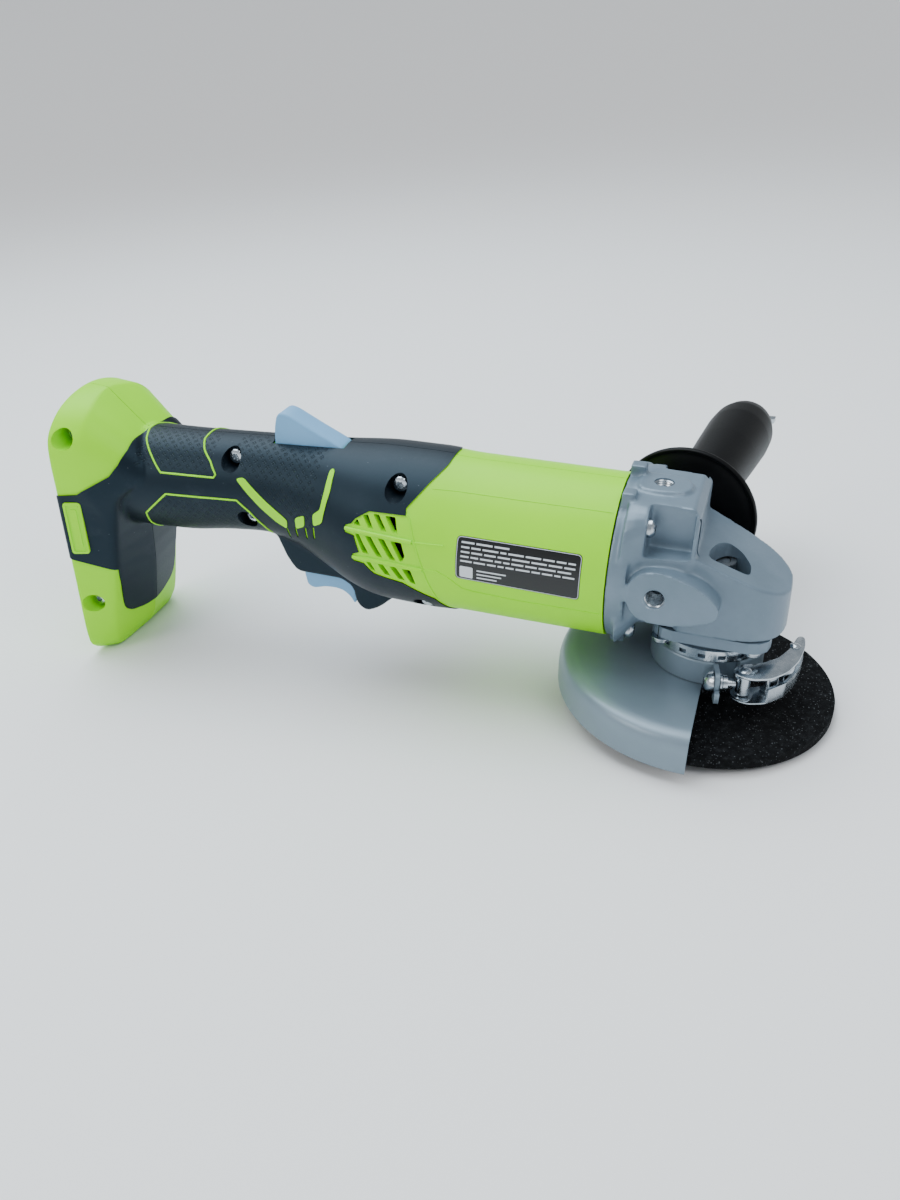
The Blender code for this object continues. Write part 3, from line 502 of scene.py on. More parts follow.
def fine_grain_group():
    """A moulded or cast surface: slow tone changes and a fine even grain."""
    group, given, out = new_group(
        "fine_grain",
        (("Grain Scale", "NodeSocketFloat", 1800.0), ("Tone Scale", "NodeSocketFloat", 25.0),
         ("Colour", "NodeSocketColor", None),
         ("Shade", "NodeSocketColor", None), ("Base Roughness", "NodeSocketFloat", 0.4),
         ("Roughness Spread", "NodeSocketFloat", 0.1)),
        (("Colour", "NodeSocketColor"), ("Roughness", "NodeSocketFloat"), ("Height", "NodeSocketFloat")),
    )
    wire = Wiring(group)
    spot = wire.add("ShaderNodeTexCoord").outputs["Object"]
    fine = wire.noise(spot, given.outputs["Grain Scale"], 2.0)
    slow = wire.noise(spot, given.outputs["Tone Scale"], 4.0)
    tone = wire.ramp(slow, 0.3, 0.7)
    wire.set(out.inputs["Colour"], wire.mix(tone, given.outputs["Shade"], given.outputs["Colour"]))
    swing = wire.times(wire.minus(fine, 0.5), given.outputs["Roughness Spread"])
    wire.set(out.inputs["Roughness"], wire.plus(swing, given.outputs["Base Roughness"]))
    wire.set(out.inputs["Height"], wire.plus(wire.times(fine, 0.7), wire.times(slow, 0.3)))
    return group


def dust_group():
    """Sparse pale specks and faint rubs over a colour."""
    group, given, out = new_group(
        "dust",
        (("Colour", "NodeSocketColor", None), ("Dust Colour", "NodeSocketColor", (0.5, 0.52, 0.55, 1)),
         ("Amount", "NodeSocketFloat", 0.5), ("Speck Scale", "NodeSocketFloat", 420.0)),
        (("Colour", "NodeSocketColor"), ("Mask", "NodeSocketFloat")),
    )
    wire = Wiring(group)
    spot = wire.add("ShaderNodeTexCoord").outputs["Object"]
    cells = wire.add("ShaderNodeTexVoronoi", Vector=spot, Scale=given.outputs["Speck Scale"])
    speck = wire.ramp(cells.outputs["Distance"], 0.05, 0.13, 1.0, 0.0)
    rare = wire.ramp(wire.add("ShaderNodeSeparateColor", Color=cells.outputs["Color"]).outputs[0], 0.86, 0.9)
    film = wire.ramp(wire.noise(spot, 60.0, 6.0, 0.7), 0.55, 0.8, 0.0, 0.12)
    mask = wire.times(wire.larger(wire.times(speck, rare), film), given.outputs["Amount"])
    wire.set(out.inputs["Colour"], wire.mix(mask, given.outputs["Colour"], given.outputs["Dust Colour"]))
    wire.set(out.inputs["Mask"], mask)
    return group


def petal_group():
    """The four-petal dimple lattice pressed into the grip's panels, along and round the handle, in metres; its mask
    is also used to paint the dimples darker as painted shade.
    """
    blur = 0.0004
    middle_height = 0.008
    mean_radius = 0.0235
    petal_reach = 0.155
    group, given, out = new_group(
        "petal_lattice",
        (("Pitch", "NodeSocketFloat", 0.0046),),
        (("Mask", "NodeSocketFloat"), ("Height", "NodeSocketFloat")),
    )
    wire = Wiring(group)
    back = TOOL.inverted()
    level = wire.add("ShaderNodeMapping", Vector=wire.add("ShaderNodeTexCoord").outputs["Object"])
    level.inputs["Location"].default_value = back.translation
    level.inputs["Rotation"].default_value = back.to_euler()
    spot = wire.add("ShaderNodeSeparateXYZ", Vector=level.outputs[0])
    x, y, z = (spot.outputs[i] for i in range(3))
    lift = wire.minus(z, middle_height)
    round_way = wire.times(wire.math("ARCTAN2", wire.math("ABSOLUTE", y), lift), mean_radius)
    pitch = given.outputs["Pitch"]
    along = wire.math("DIVIDE", x, pitch)
    across = wire.math("DIVIDE", round_way, pitch)
    nearest = None
    for shift in (0.0, 0.5):
        folded = []
        for line in (along, across):
            cell = wire.math("FRACT", wire.plus(line, 1000.0 + shift))
            folded.append(wire.math("ABSOLUTE", wire.minus(cell, 0.5)))
        long = wire.minus(wire.larger(*folded), petal_reach)
        short = wire.smaller(*folded)
        gap = wire.math("SQRT", wire.plus(wire.times(long, long), wire.times(short, short)))
        nearest = gap if nearest is None else wire.smaller(nearest, gap)
    petal = wire.ramp(nearest, 0.06, 0.11, 1.0, 0.0)

    def between(value, low, high):
        rise = wire.ramp(value, low - blur, low + blur)
        fall = wire.ramp(value, high - blur, high + blur, 1.0, 0.0)
        return wire.times(rise, fall)

    upper = wire.times(between(x, -0.2705, -0.2325), wire.ramp(z, 0.0185, 0.0193))
    lower_top = wire.smaller(0.0055, wire.times(wire.plus(x, 0.2620), 0.95))
    lower_edge = wire.smaller(lower_top, wire.times(wire.plus(x, 0.2110), -0.9))
    lower = wire.times(between(x, -0.2665, -0.209), wire.ramp(wire.minus(z, lower_edge), -blur, blur, 1.0, 0.0))
    slope = wire.minus(wire.minus(z, 0.0085), wire.times(wire.plus(x, 0.192), -0.62))
    middle = wire.times(between(x, -0.2215, -0.1765), wire.ramp(slope, -blur, blur))
    zone = wire.larger(wire.larger(upper, lower), middle)
    mask = wire.times(petal, zone)
    wire.set(out.inputs["Mask"], mask)
    wire.set(out.inputs["Height"], wire.times(mask, -1.0))
    return group


def grit_group():
    """Bonded abrasive grains: uneven dark cells, patches mixed a little toward the paler colour, and a few cells
    painted pale as painted glints on grain facets, where the roughness is also lower.
    """
    group, given, out = new_group(
        "abrasive_grit",
        (("Grain Scale", "NodeSocketFloat", 900.0), ("Colour", "NodeSocketColor", None),
         ("Bright", "NodeSocketColor", None)),
        (("Colour", "NodeSocketColor"), ("Roughness", "NodeSocketFloat"), ("Height", "NodeSocketFloat")),
    )
    wire = Wiring(group)
    spot = wire.add("ShaderNodeTexCoord").outputs["Object"]
    cells = wire.add("ShaderNodeTexVoronoi", Vector=spot, Scale=given.outputs["Grain Scale"])
    pick = wire.add("ShaderNodeSeparateColor", Color=cells.outputs["Color"])
    # the sparse pale cells are painted glints; the patches below are random tone
    bright = wire.ramp(pick.outputs[0], 0.962, 0.99)
    patch = wire.ramp(wire.noise(spot, 320.0, 4.0), 0.4, 0.7, 0.0, 0.22)
    share = wire.larger(bright, wire.times(patch, pick.outputs[1]))
    wire.set(out.inputs["Colour"], wire.mix(share, given.outputs["Colour"], given.outputs["Bright"]))
    wire.set(out.inputs["Roughness"], wire.ramp(bright, 0.0, 1.0, 0.85, 0.35))
    wire.set(out.inputs["Height"], wire.plus(cells.outputs["Distance"], pick.outputs[2]))
    return group


GROUPS = {"grain": fine_grain_group(), "dust": dust_group(), "petals": petal_group(), "grit": grit_group()}


def start_material(name):
    material = bpy.data.materials.new(name)
    material.use_nodes = True
    material.node_tree.nodes.clear()
    wire = Wiring(material.node_tree)
    surface = wire.add("ShaderNodeBsdfPrincipled")
    out = wire.add("ShaderNodeOutputMaterial")
    wire.set(out.inputs["Surface"], surface.outputs[0])
    return material, wire, surface


def placed_group(wire, key, **values):
    node = wire.tree.nodes.new("ShaderNodeGroup")
    node.node_tree = GROUPS[key]
    for label, value in values.items():
        wire.set(node.inputs[label.replace("_", " ")], value)
    return node


def finish(name, colour, shade, rough, spread=0.1, grain=1800.0, tone=25.0, bump=0.1, depth=0.00005, metal=0.0,
           dust=0.0, dust_colour=(0.5, 0.52, 0.55, 1), petals=False, specular=0.5, tint=(1.0, 1.0, 1.0)):
    """A finish from the grain group, with dust and petals where they are wanted; the petals' dimples are painted
    darker as painted shade.
    """
    material, wire, surface = start_material(name)
    grain_node = placed_group(wire, "grain", Colour=(*colour, 1), Shade=(*shade, 1), Grain_Scale=grain,
                              Tone_Scale=tone,
                              Base_Roughness=rough, Roughness_Spread=spread)
    paint = grain_node.outputs["Colour"]
    height = grain_node.outputs["Height"]
    if petals:
        lattice = placed_group(wire, "petals")
        # the dimples get a darker colour: painted shade in the recesses
        paint = wire.mix(wire.times(lattice.outputs["Mask"], 0.75), paint, (0.002, 0.0028, 0.004, 1))
        height = wire.plus(wire.times(height, 0.15), wire.times(lattice.outputs["Height"], 4.0))
    if dust:
        specks = placed_group(wire, "dust", Colour=paint, Dust_Colour=dust_colour, Amount=dust)
        paint = specks.outputs["Colour"]
    wire.set(surface.inputs["Base Color"], paint)
    wire.set(surface.inputs["Roughness"], grain_node.outputs["Roughness"])
    surface.inputs["Metallic"].default_value = metal
    surface.inputs["Specular IOR Level"].default_value = specular
    # the tint colours every specular reflection; on the dark rubber it is a sky-blue painted reflection colour
    surface.inputs["Specular Tint"].default_value = (*tint, 1)
    relief = wire.add("ShaderNodeBump", Strength=bump, Distance=depth, Height=height)
    wire.set(surface.inputs["Normal"], relief.outputs[0])
    return material


def abrasive_finish():
    material, wire, surface = start_material("bonded_abrasive")
    # Bright is the painted glint colour of the sparse cells, and also the tone of the paler patches
    grit = placed_group(wire, "grit", Colour=(0.0028, 0.0032, 0.0038, 1), Bright=(0.07, 0.078, 0.085, 1),
                        Grain_Scale=2300.0)
    wire.set(surface.inputs["Base Color"], grit.outputs["Colour"])
    wire.set(surface.inputs["Roughness"], grit.outputs["Roughness"])
    surface.inputs["Specular IOR Level"].default_value = 0.1
    relief = wire.add("ShaderNodeBump", Strength=0.55, Distance=0.0004, Height=grit.outputs["Height"])
    wire.set(surface.inputs["Normal"], relief.outputs[0])
    return material


FINISHES = {
    "lime_plastic": finish("lime_moulding", (0.33, 0.86, 0.0), (0.31, 0.83, 0.0), 0.36, 0.08, bump=0.05, dust=0.06,
                           dust_colour=(0.5, 0.75, 0.15, 1), specular=0.16),
    # dark rubber: the sky-blue tint is a painted reflection colour, and the dimples are painted darker as painted
    # shade
    "dark_rubber": finish("dark_overmould", (0.0034, 0.0066, 0.0105), (0.0026, 0.005, 0.0085), 0.44, 0.16,
                          grain=1500.0,
                          bump=0.45, depth=0.0001, dust=0.4, dust_colour=(0.2, 0.23, 0.26, 1), petals=True,
                          specular=0.34, tint=(0.5, 0.78, 1.0)),
    "trigger_plastic": finish("pale_blue_grey", (0.185, 0.41, 0.66), (0.17, 0.39, 0.63), 0.42, 0.08, bump=0.06,
                              specular=0.35),
    "cast_alloy": finish("cast_case", (0.165, 0.225, 0.285), (0.135, 0.19, 0.24), 0.4, 0.16, grain=900.0, tone=45.0,
                         bump=0.25,
                         depth=0.0001, metal=0.3, dust=0.12, dust_colour=(0.5, 0.55, 0.6, 1)),
    "guard_steel": finish("painted_guard", (0.20, 0.265, 0.32), (0.175, 0.235, 0.285), 0.38, 0.12, grain=1200.0,
                          tone=18.0,
                          bump=0.1, metal=0.35, dust=0.06),
    "zinc_steel": finish("bright_zinc", (0.55, 0.60, 0.64), (0.40, 0.45, 0.49), 0.22, 0.2, grain=700.0, tone=140.0,
                         bump=0.12,
                         metal=1.0),
    "steel": finish("ground_steel", (0.45, 0.46, 0.47), (0.36, 0.37, 0.38), 0.3, 0.15, grain=900.0, tone=90.0,
                    metal=1.0),
    "black_plastic": finish("black_moulding", (0.0014, 0.0016, 0.0019), (0.001, 0.0012, 0.0015), 0.42, 0.14,
                            grain=1300.0, bump=0.2,
                            dust=0.06, dust_colour=(0.06, 0.065, 0.075, 1), specular=0.13),
    "abrasive": abrasive_finish(),
    "copper": finish("wound_copper", (0.55, 0.20, 0.08), (0.42, 0.14, 0.05), 0.35, 0.2, grain=600.0, metal=1.0),
    "brass": finish("brass_blade", (0.70, 0.50, 0.20), (0.60, 0.42, 0.16), 0.3, 0.15, metal=1.0),
    "carbon": finish("carbon_block", (0.02, 0.02, 0.022), (0.015, 0.015, 0.017), 0.6, 0.1),
    "magnet": finish("ferrite", (0.05, 0.05, 0.055), (0.04, 0.04, 0.045), 0.55, 0.1),
}
LABEL_BLACK = finish("label_black", (0.003, 0.0034, 0.004), (0.0025, 0.003, 0.0035), 0.3, 0.05, bump=0.02)
LABEL_PALE = finish("label_pale", (0.62, 0.66, 0.70), (0.58, 0.62, 0.66), 0.32, 0.05, bump=0.02)

for node in frame["nodes"].values():
    for place in node.material_slots:
        wanted = place.material.name.split(".")[0] if place.material else "steel"
        place.material = FINISHES.get(wanted, FINISHES["steel"])

# ---------------------------------------------------------------- handle, barrel and foot shapes


def body_size(x):
    """Half width, middle height and half height of the handle and barrel at x, with the stations run together."""
    spread = (-5.0, -2.5, 0.0, 2.5, 5.0)
    samples = [[np.interp(x + shift, BODY_STATIONS[:, 0], BODY_STATIONS[:, column]) for shift in spread]
               for column in (1, 2, 3)]
    half, top, bottom = (sum(values) / len(values) for values in samples)
    return half, (top + bottom) / 2, (top - bottom) / 2


def body_loft(name, start, end, grow, step=2.0, sides=128):
    rows = []
    count = max(2, int(math.ceil((end - start) / step)) + 1)
    for x in np.linspace(start, end, count):
        half, middle, height = body_size(x)
        turn = (np.arange(sides) + 0.5) * 2 * math.pi / sides
        ring = np.column_stack((np.full(sides, x), (half + grow) * np.cos(turn),
                                middle + (height + grow) * np.sin(turn)))
        rows.append(ring)
    return loft(name, rows)


def on_body(outline, side, grow, step=1.2):
    """Points on the body's skin that follow an (x, z) outline seen from one side."""
    spots = []
    for (x0, z0), (x1, z1) in zip(outline, outline[1:]):
        count = max(1, int(math.hypot(x1 - x0, z1 - z0) / step))
        spots += [(x0 + (x1 - x0) * i / count, z0 + (z1 - z0) * i / count) for i in range(count)]
    spots.append(outline[-1])
    result = []
    for x, z in spots:
        half, middle, height = body_size(x)
        rise = max(-0.999, min(0.999, (z - middle) / height))
        turn = math.asin(rise)
        result.append((x, side * (half + grow) * math.cos(turn), middle + (height + grow) * math.sin(turn)))
    return result


def round_body(x, start_z, grow, upper, steps=16):
    """Points across the top or bottom of the handle from the right side's height to the left side's."""
    half, middle, height = body_size(x)
    low = math.asin(max(-0.999, min(0.999, (start_z - middle) / height)))
    turns = np.linspace(math.pi - low, low if upper else 2 * math.pi + low, steps)[1:-1]
    return [(x, (half + grow) * math.cos(turn), middle + (height + grow) * math.sin(turn)) for turn in turns]


def foot_rows(steps=4):
    """The foot's rows from the dome's top to the heel, run together smoothly down the foot."""
    mirror = np.array((-1, 1, 1, -1, 1, 1, -1, 1, 1))
    rows = np.vstack((FOOT_ROWS[1] * mirror, FOOT_ROWS, FOOT_ROWS[-2] * mirror))
    result = []
    for before, near, far, after in zip(rows, rows[1:], rows[2:], rows[3:]):
        for step in range(steps):
            t = step / steps
            bend = (2 * near + (far - before) * t + (2 * before - 5 * near + 4 * far - after) * t * t
                    + (3 * near - before - 3 * far + after) * t ** 3) / 2
            result.append(bend)
    result.append(rows[-2])
    return np.array(result)


def foot_solid(name, grow=0.0, shift=0.0):
    """The battery foot: a domed plate with a rim band, a slope up to the handle and a bulged front."""
    rows = []
    for y, z, cx, cy, cz, fx, fy, fz, mx in foot_rows():
        side = [(FOOT_REAR, y * 0.97, z * 0.97 if z > 0 else z + 1.0), (FOOT_REAR + 1.2, y, z), (cx, cy, cz),
                (fx, fy, fz), (mx, 0, fz)]
        side = eased(side, 1.3, 2, closed=False)
        right = [(px, -py, pz) for px, py, pz in side]
        left = [(px, py, pz) for px, py, pz in reversed(side[:-1])]
        rows.append(right + left)
    rows = np.array(rows)
    count, width = rows.shape[:2]
    faces = []
    for i in range(count - 1):
        for j in range(width - 1):
            faces.append((i * width + j, i * width + j + 1, (i + 1) * width + j + 1, (i + 1) * width + j))
    faces.append(tuple(i * width for i in range(count)) + tuple(i * width + width - 1
                                                                for i in reversed(range(count))))
    piece = make(name, rows.reshape(-1, 3), faces)
    shape = bmesh.new()
    shape.from_mesh(piece.data)
    bmesh.ops.dissolve_degenerate(shape, edges=shape.edges, dist=1e-6)
    bmesh.ops.recalc_face_normals(shape, faces=shape.faces)
    shape.normal_update()
    if grow:
        for vert, normal in [(vert, vert.normal.copy()) for vert in shape.verts]:
            vert.co += normal * grow * MM
    for vert in shape.verts:
        vert.co.x += shift * MM
    shape.to_mesh(piece.data)
    shape.free()
    return piece


def screw_wells(radius, more=0.0):
    """Round wells for the screw heads; the four in the grip, after the foot's two, are wider by more."""
    wells = []
    for number, (x, z, seat) in enumerate(SCREW_SEATS):
        wide = radius + more if number > 1 else radius
        steps = ((wide, -80), (wide, seat), (1.9, seat + 0.01), (1.9, 9))
        wells.append(placed(loft("well", [ring(r, h, 39) for r, h in steps]), across(x, z)))
    return wells


def mouth_cutters():
    """The openings for the trigger and the lock-off lever."""
    return [block("trigger_slot", (-192.8, -9.5, -70), (-165.5, 9.5, 0)),
            block("lever_slot", (-205.0, -6.5, 18), (-168.9, 6.5, 60))]


def half_space(side):
    near, far = sorted((side * SEAM, side * 120.0))
    return block("half", (-400, near, -200), (100, far, 200))


def fit_halves(whole, name, slot, node):
    """Splits a part on the tool's middle plane and fits its right and left halves."""
    twin = copied(whole, f"{name}_left")
    kept(whole, half_space(-1))
    kept(twin, half_space(1))
    whole.name = f"{name}_right"
    fit(whole, "housing", slot, (f"{node}_right",))
    fit(twin, "housing", slot, (f"{node}_left",))


def rear_cutters():
    """The battery recess and the latch relief below it, cut in from the foot's rear."""
    recess = eased(((-29, -44), (-29, 26), (29, 26), (29, -44)), 7.0)
    relief = eased(((-24, -78.5), (-24, -64.5), (24, -64.5), (24, -78.5)), 4.0)
    return [prism("recess", recess, -320, -292, "x"), prism("relief", relief, -320, -299.5, "x")]


def make_shells():
    """The two lime housing shells, hollow, with real air slots, screw wells and the battery recess."""
    core = body_loft("core", -288.0, HOUSING_FRONT, 0.0)
    fused(core, foot_solid("foot"))
    cutters = [body_loft("hollow", -292.5, HOUSING_FRONT - 5, -WALL, 6.0, 64)]
    cutters += rear_cutters() + mouth_cutters() + screw_wells(SCREW_WELL, WELL_LINING)
    for outline in VENT_OPENINGS:
        cutters += both_sides("vent", eased(outline, 0.5, 2), 12, 60)
    cut(core, *cutters)
    fit_halves(core, "housing_shell", "lime_plastic", "housing")


def foot_band():
    """The space that the rubber takes on the foot: a band round both sides and a saddle down the front."""
    side = ((-307.1, 4.0), (-297.0, 4.9), (-294.2, 6.8), (-280.7, 14.4), (-276.3, 20.0), (-273.5, 26.0),
            (-273.0, 32.0),
            (-272.0, 36.0), (-255.0, 60.0), (-255.0, -38.2), (-286.0, -38.2), (-307.1, -29.6))
    band = prism("band", side, -60, 60)
    front = ((-26.5, -30), (-26.5, -39.6), (-25, -47.7), (-24, -57.2), (-22.6, -63.4), (-18.6, -67.0),
             (-7.7, -69.6), (7.7, -69.6),
             (18.6, -67.0), (22.6, -63.4), (24, -57.2), (25, -47.7), (26.5, -39.6), (26.5, -30))
    saddle = prism("saddle", eased(front, 3.0, 4), -294, -255, "x")
    return fused(band, saddle)


def make_grips():
    """The two dark rubber skins, moulded over the handle, trigger housing and foot."""
    outer = body_loft("outer", -284.0, -100.0, RUBBER)
    web = softened(prism("web", eased(WEB_OUTLINE, 3.0), -WEB_HALF, WEB_HALF), 2.5, 3)
    foot = foot_solid("foot_outer", FOOT_RUBBER)
    fused(outer, web, foot)
    cast(outer, 1.0, 3)
    lime_foot = block("away", (-330, -70, -120), (-262, 70, 80))
    cut(lime_foot, foot_band())
    front = prism("front", RUBBER_FRONT, -80, 80)
    inner = body_loft("inner", -291.0, -95.0, -0.5, 4.0, 96)
    foot_inner = foot_solid("foot_inner", -1.2, -2.5)
    cutters = [lime_foot, front, inner, foot_inner] + mouth_cutters() + screw_wells(SCREW_WELL)
    for x, low, high in ((-192.6, -8.1, -1.4), (-187.0, -4.8, 0.6), (-180.8, -3.2, 2.8), (-176.0, -1.5, 4.6)):
        cutters.append(block("groove_right", (x - 0.5, -40, low), (x + 0.5, -18, high)))
        cutters.append(block("groove_left", (x - 0.5, 18, low), (x + 0.5, 40, high)))
    cut(outer, *cutters)
    fit_halves(outer, "grip_skin", "dark_rubber", "grip")


def make_well_linings():
    """The rubber lining of the four screw wells in the grip."""
    linings = body_loft("well_linings", -230.0, -110.0, 0.5)
    outer = []
    inner = []
    for x, z, seat in SCREW_SEATS[2:]:
        place = across(x, z)
        outer.append(cylinder("outer", SCREW_WELL + 0.65, -60, seat + 1.0, place))
        inner.append(cylinder("inner", SCREW_WELL, -70, seat, place))
    kept(linings, joined("outers", outer))
    cut(linings, joined("inners", inner))
    fit(linings, "housing", "dark_rubber")


def make_grip_trim():
    """The lime slashes and the thin lime piping that show through the rubber."""
    patches = body_loft("patches", -225.0, -160.0, RUBBER + 0.3)
    bars = []
    for outline in LIME_SLASHES:
        bars += both_sides("bar", eased(outline, 1.4, 3), 10, 60)
    kept(patches, joined("bars", bars))
    patches.name = "grip_slashes"
    fit(patches, "housing", "lime_plastic")
    lift = 0.5
    right = on_body(UPPER_PIPING, -1, lift)
    left = [(x, -y, z) for x, y, z in right]
    over_rear = round_body(*UPPER_PIPING[-1], lift, True)
    over_front = round_body(*UPPER_PIPING[0], lift, True)
    upper = tube("upper", right + over_rear + left[::-1] + over_front[::-1], PIPING_RADIUS, closed=True)
    right = on_body(LOWER_PIPING, -1, lift)
    left = [(x, -y, z) for x, y, z in right]
    under = round_body(*LOWER_PIPING[-1], lift, False)
    lower = tube("lower", right + under + left[::-1], PIPING_RADIUS)
    fit(joined("grip_piping", [upper, lower]), "housing", "lime_plastic")


def make_barrel_lines():
    """The raised ribs over the air slots and the fine ridges on the barrel, on both sides."""
    lines = (
        (((-157.9, 9.6), (-146.6, 9.7), (-126.2, 9.0)), 0.25, 0.95),
        (((-154.2, -3.0), (-146.6, -2.4), (-134.4, -2.6), (-121.2, -3.2)), 0.25, 0.95),
        (((-126.5, 9.0), (-112.0, 9.3)), 0.05, 0.42),
        (((-121.4, -3.2), (-115.4, -2.7), (-109.9, -5.6), (-103.7, -10.2), (-98.6, -11.0), (-78.0, -11.9),
          (-44.0, -11.6)), 0.0, 0.42),
        (((-130.0, 19.4), (-128.4, 18.1), (-126.6, 13.1), (-123.7, 5.0), (-121.2, -2.8), (-118.3, -13.4),
          (-116.4, -20.6)), 0.05, 0.4),
        (((-121.5, 29.0), (-82.9, 29.0), (-44.0, 29.2)), -0.1, 0.35),
    )
    ridges = [tube("ridge", on_body(path, side, lift), radius) for side in (-1, 1) for path, lift, radius in lines]
    fit(joined("barrel_ridges", ridges), "housing", "lime_plastic")


def label_bar(start, end, z, half):
    return prism("bar", ((start, z + half), (end, z + half), (end, z - half), (start, z - half)), -60, -20)


def make_label():
    """A plain generic label: a black plate with a pale border, one pale block and plain bars."""
    face = body_loft("label_plate", -108.0, -50.0, 0.12, 2.0, 160)
    kept(face, prism("plate", eased(((-106.4, 14.6), (-52.6, 14.4), (-52.6, -5.6), (-106.4, -4.6)), 2.0), -60, -20))
    fit(face, "housing", "black_plastic")
    face.data.materials[0] = LABEL_BLACK
    marks = body_loft("label_marks", -108.0, -50.0, 0.2, 2.0, 160)
    shapes = [prism("blockmark", eased(((-104.4, 1.8), (-98.6, 1.7), (-98.6, -3.6), (-104.4, -3.4)), 0.6, 2), -60,
                    -20)]
    rng = np.random.default_rng(7)
    for row in range(5):
        z = 12.2 - 2.0 * row
        x = -104.2
        end = -55.0 if row else -80.0
        while x < end - 3:
            long = float(rng.uniform(2.5, 7.5))
            stop = min(x + long, end)
            shapes.append(label_bar(x, stop, z, 0.35))
            x = stop + 0.9
    for row in range(3):
        shapes.append(label_bar(-96.8, -84.0 - 2 * row, 0.6 - 1.7 * row, 0.3))
    kept(marks, joined("marks", shapes))
    fit(marks, "housing", "trigger_plastic")
    marks.data.materials[0] = LABEL_PALE
    border = on_body(eased(((-106.0, 14.2), (-53.0, 14.0), (-53.0, -5.2), (-106.0, -4.2)), 1.8) + [(-106.0, 12.4)],
                     -1, 0.14, 2.0)
    edge = tube("label_edge", border, 0.13)
    fit(edge, "housing", "trigger_plastic")
    edge.data.materials[0] = LABEL_PALE


def make_badge():
    """A blank raised badge on the foot's right side."""
    centre = Vector((-300.4, -35.0, -12.8))
    normal = Vector((7.5, -20.5, 0)).normalized()
    along = Vector((20.5, 7.5, 0)).normalized()
    place = Matrix((along, Vector((0, 0, 1)), normal)).transposed().to_4x4()
    place.translation = centre
    corners = ((-4.3, 13.8), (4.3, 13.8), (4.3, -13.8), (-4.3, -13.8))
    plate = softened(prism("foot_badge", eased(corners, 1.8), -1.5, 1.25, "z"), 0.3, 2)
    well = prism("well", eased(((-3.1, 12.4), (3.1, 12.4), (3.1, -12.4), (-3.1, -12.4)), 1.2), 0.75, 3, "z")
    bar = prism("bar", eased(((-1.7, 10.2), (1.7, 10.2), (1.7, -10.2), (-1.7, -10.2)), 1.0), 0.0, 1.05, "z")
    cut(plate, well)
    fused(plate, bar)
    fit(placed(plate, place), "housing", "lime_plastic")


def socket_star(radius, depth_low, depth_high):
    """A six-lobed driver socket."""
    outline = []
    for i in range(36):
        turn = 2 * math.pi * i / 36
        reach = radius * (1 + 0.14 * math.cos(6 * turn))
        outline.append((reach * math.cos(turn), reach * math.sin(turn)))
    return prism("socket", outline, depth_low, depth_high, "z")


def screw_shape(name, head, shank, height, length, dome=0.35):
    """A pan-head screw, its head's top at zero and its shank towards +Z."""
    profile = ((0, 0), (head * 0.62, 0.0), (head * 0.9, dome), (head, dome + 0.5), (head, height), (shank, height),
               (shank, length), (0, length))
    screw = loft(name, [ring(max(r, 0.01), h, 36) for r, h in profile])
    return cut(screw, socket_star(head * 0.45, -1, height * 0.6))


def make_housing_screws():
    for number, (x, z, seat) in enumerate(SCREW_SEATS, 1):
        screw = screw_shape(f"shell_screw_{number}", 3.5, 1.6, 2.7, 8.0 - seat + 2.6)
        placed(screw, across(x, z, seat - 3.0))
        fit(screw, "housing", "zinc_steel", (f"housing_screw_{number}",))


def make_controls():
    """The trigger's blade, and the lock-off lever's paddle with the bore for its pin."""
    trigger = ((-192.4, -26.5), (-192.4, -31.5), (-191.2, -38.2), (-188, -39.6), (-182, -37.7), (-176, -37.3),
               (-172, -38.3),
               (-168.8, -40.7), (-166.8, -44.2), (-165.9, -43.5), (-165.9, -26.5))
    blade = softened(prism("trigger_blade", eased(trigger, 1.6), -9.0, 9.0), 1.3, 3)
    fit(blade, "trigger", "trigger_plastic", ("trigger",))
    lever = ((-204.2, 26.5), (-203.6, 40.0), (-202.2, 46.0), (-199.6, 47.8), (-196.0, 47.0), (-184.0, 41.0),
             (-172.0, 35.4),
             (-169.6, 33.8), (-169.6, 25.5), (-178.0, 25.0))
    paddle = softened(prism("lock_off_paddle", eased(lever, 2.2), -6.0, 6.0), 1.5, 3)
    cut(paddle, placed(turned("bore", ((0.01, -20), (1.8, -20), (1.8, 20), (0.01, 20)), 24), across(-174.0, 28.5)))
    fit(paddle, "lock_off_lever", "trigger_plastic", ("lock_off_lever",))


def make_spring(name, x, radius, low, high, turns, node):
    """A wire coil standing along Z."""
    steps = turns * COIL_STEPS
    wire = []
    for step in range(steps + 1):
        angle = 2 * math.pi * step / COIL_STEPS
        height = low + (high - low) * step / steps
        wire.append((x + radius * math.cos(angle), radius * math.sin(angle), height))
    coil = fit(tube(name, wire, COIL_WIRE), "housing", "steel", (node,))
    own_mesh(coil)


def make_springs():
    make_spring("trigger_coil", -179.5, 4.9, -25.2, -15.2, 5, "trigger_spring")
    make_spring("lock_off_coil", -188.0, 3.0, 13.8, 23.8, 4, "lock_off_spring")


# ---------------------------------------------------------------- gear case


def head_outline(low):
    if low:
        side = ((-14, 27.2), (-5, 27.2), (6, 27), (16, 25.8), (24, 22.5), (29, 16), (31, 8))
    else:
        side = ((-14, 26.2), (-5, 25.6), (6, 24.2), (15, 22.4), (22.5, 19.2), (28, 13), (30.4, 6.5))
    return eased([(x, -y) for x, y in side] + [(x, y) for x, y in reversed(side)], 4.0, 3)


def head_top(x):
    return 12.35 - 0.435 * x


def cylinder(name, radius, low, high, place=None, sides=48):
    piece = loft(name, [ring(radius, h, sides) for h in (low, high)])
    return placed(piece, place) if place is not None else piece


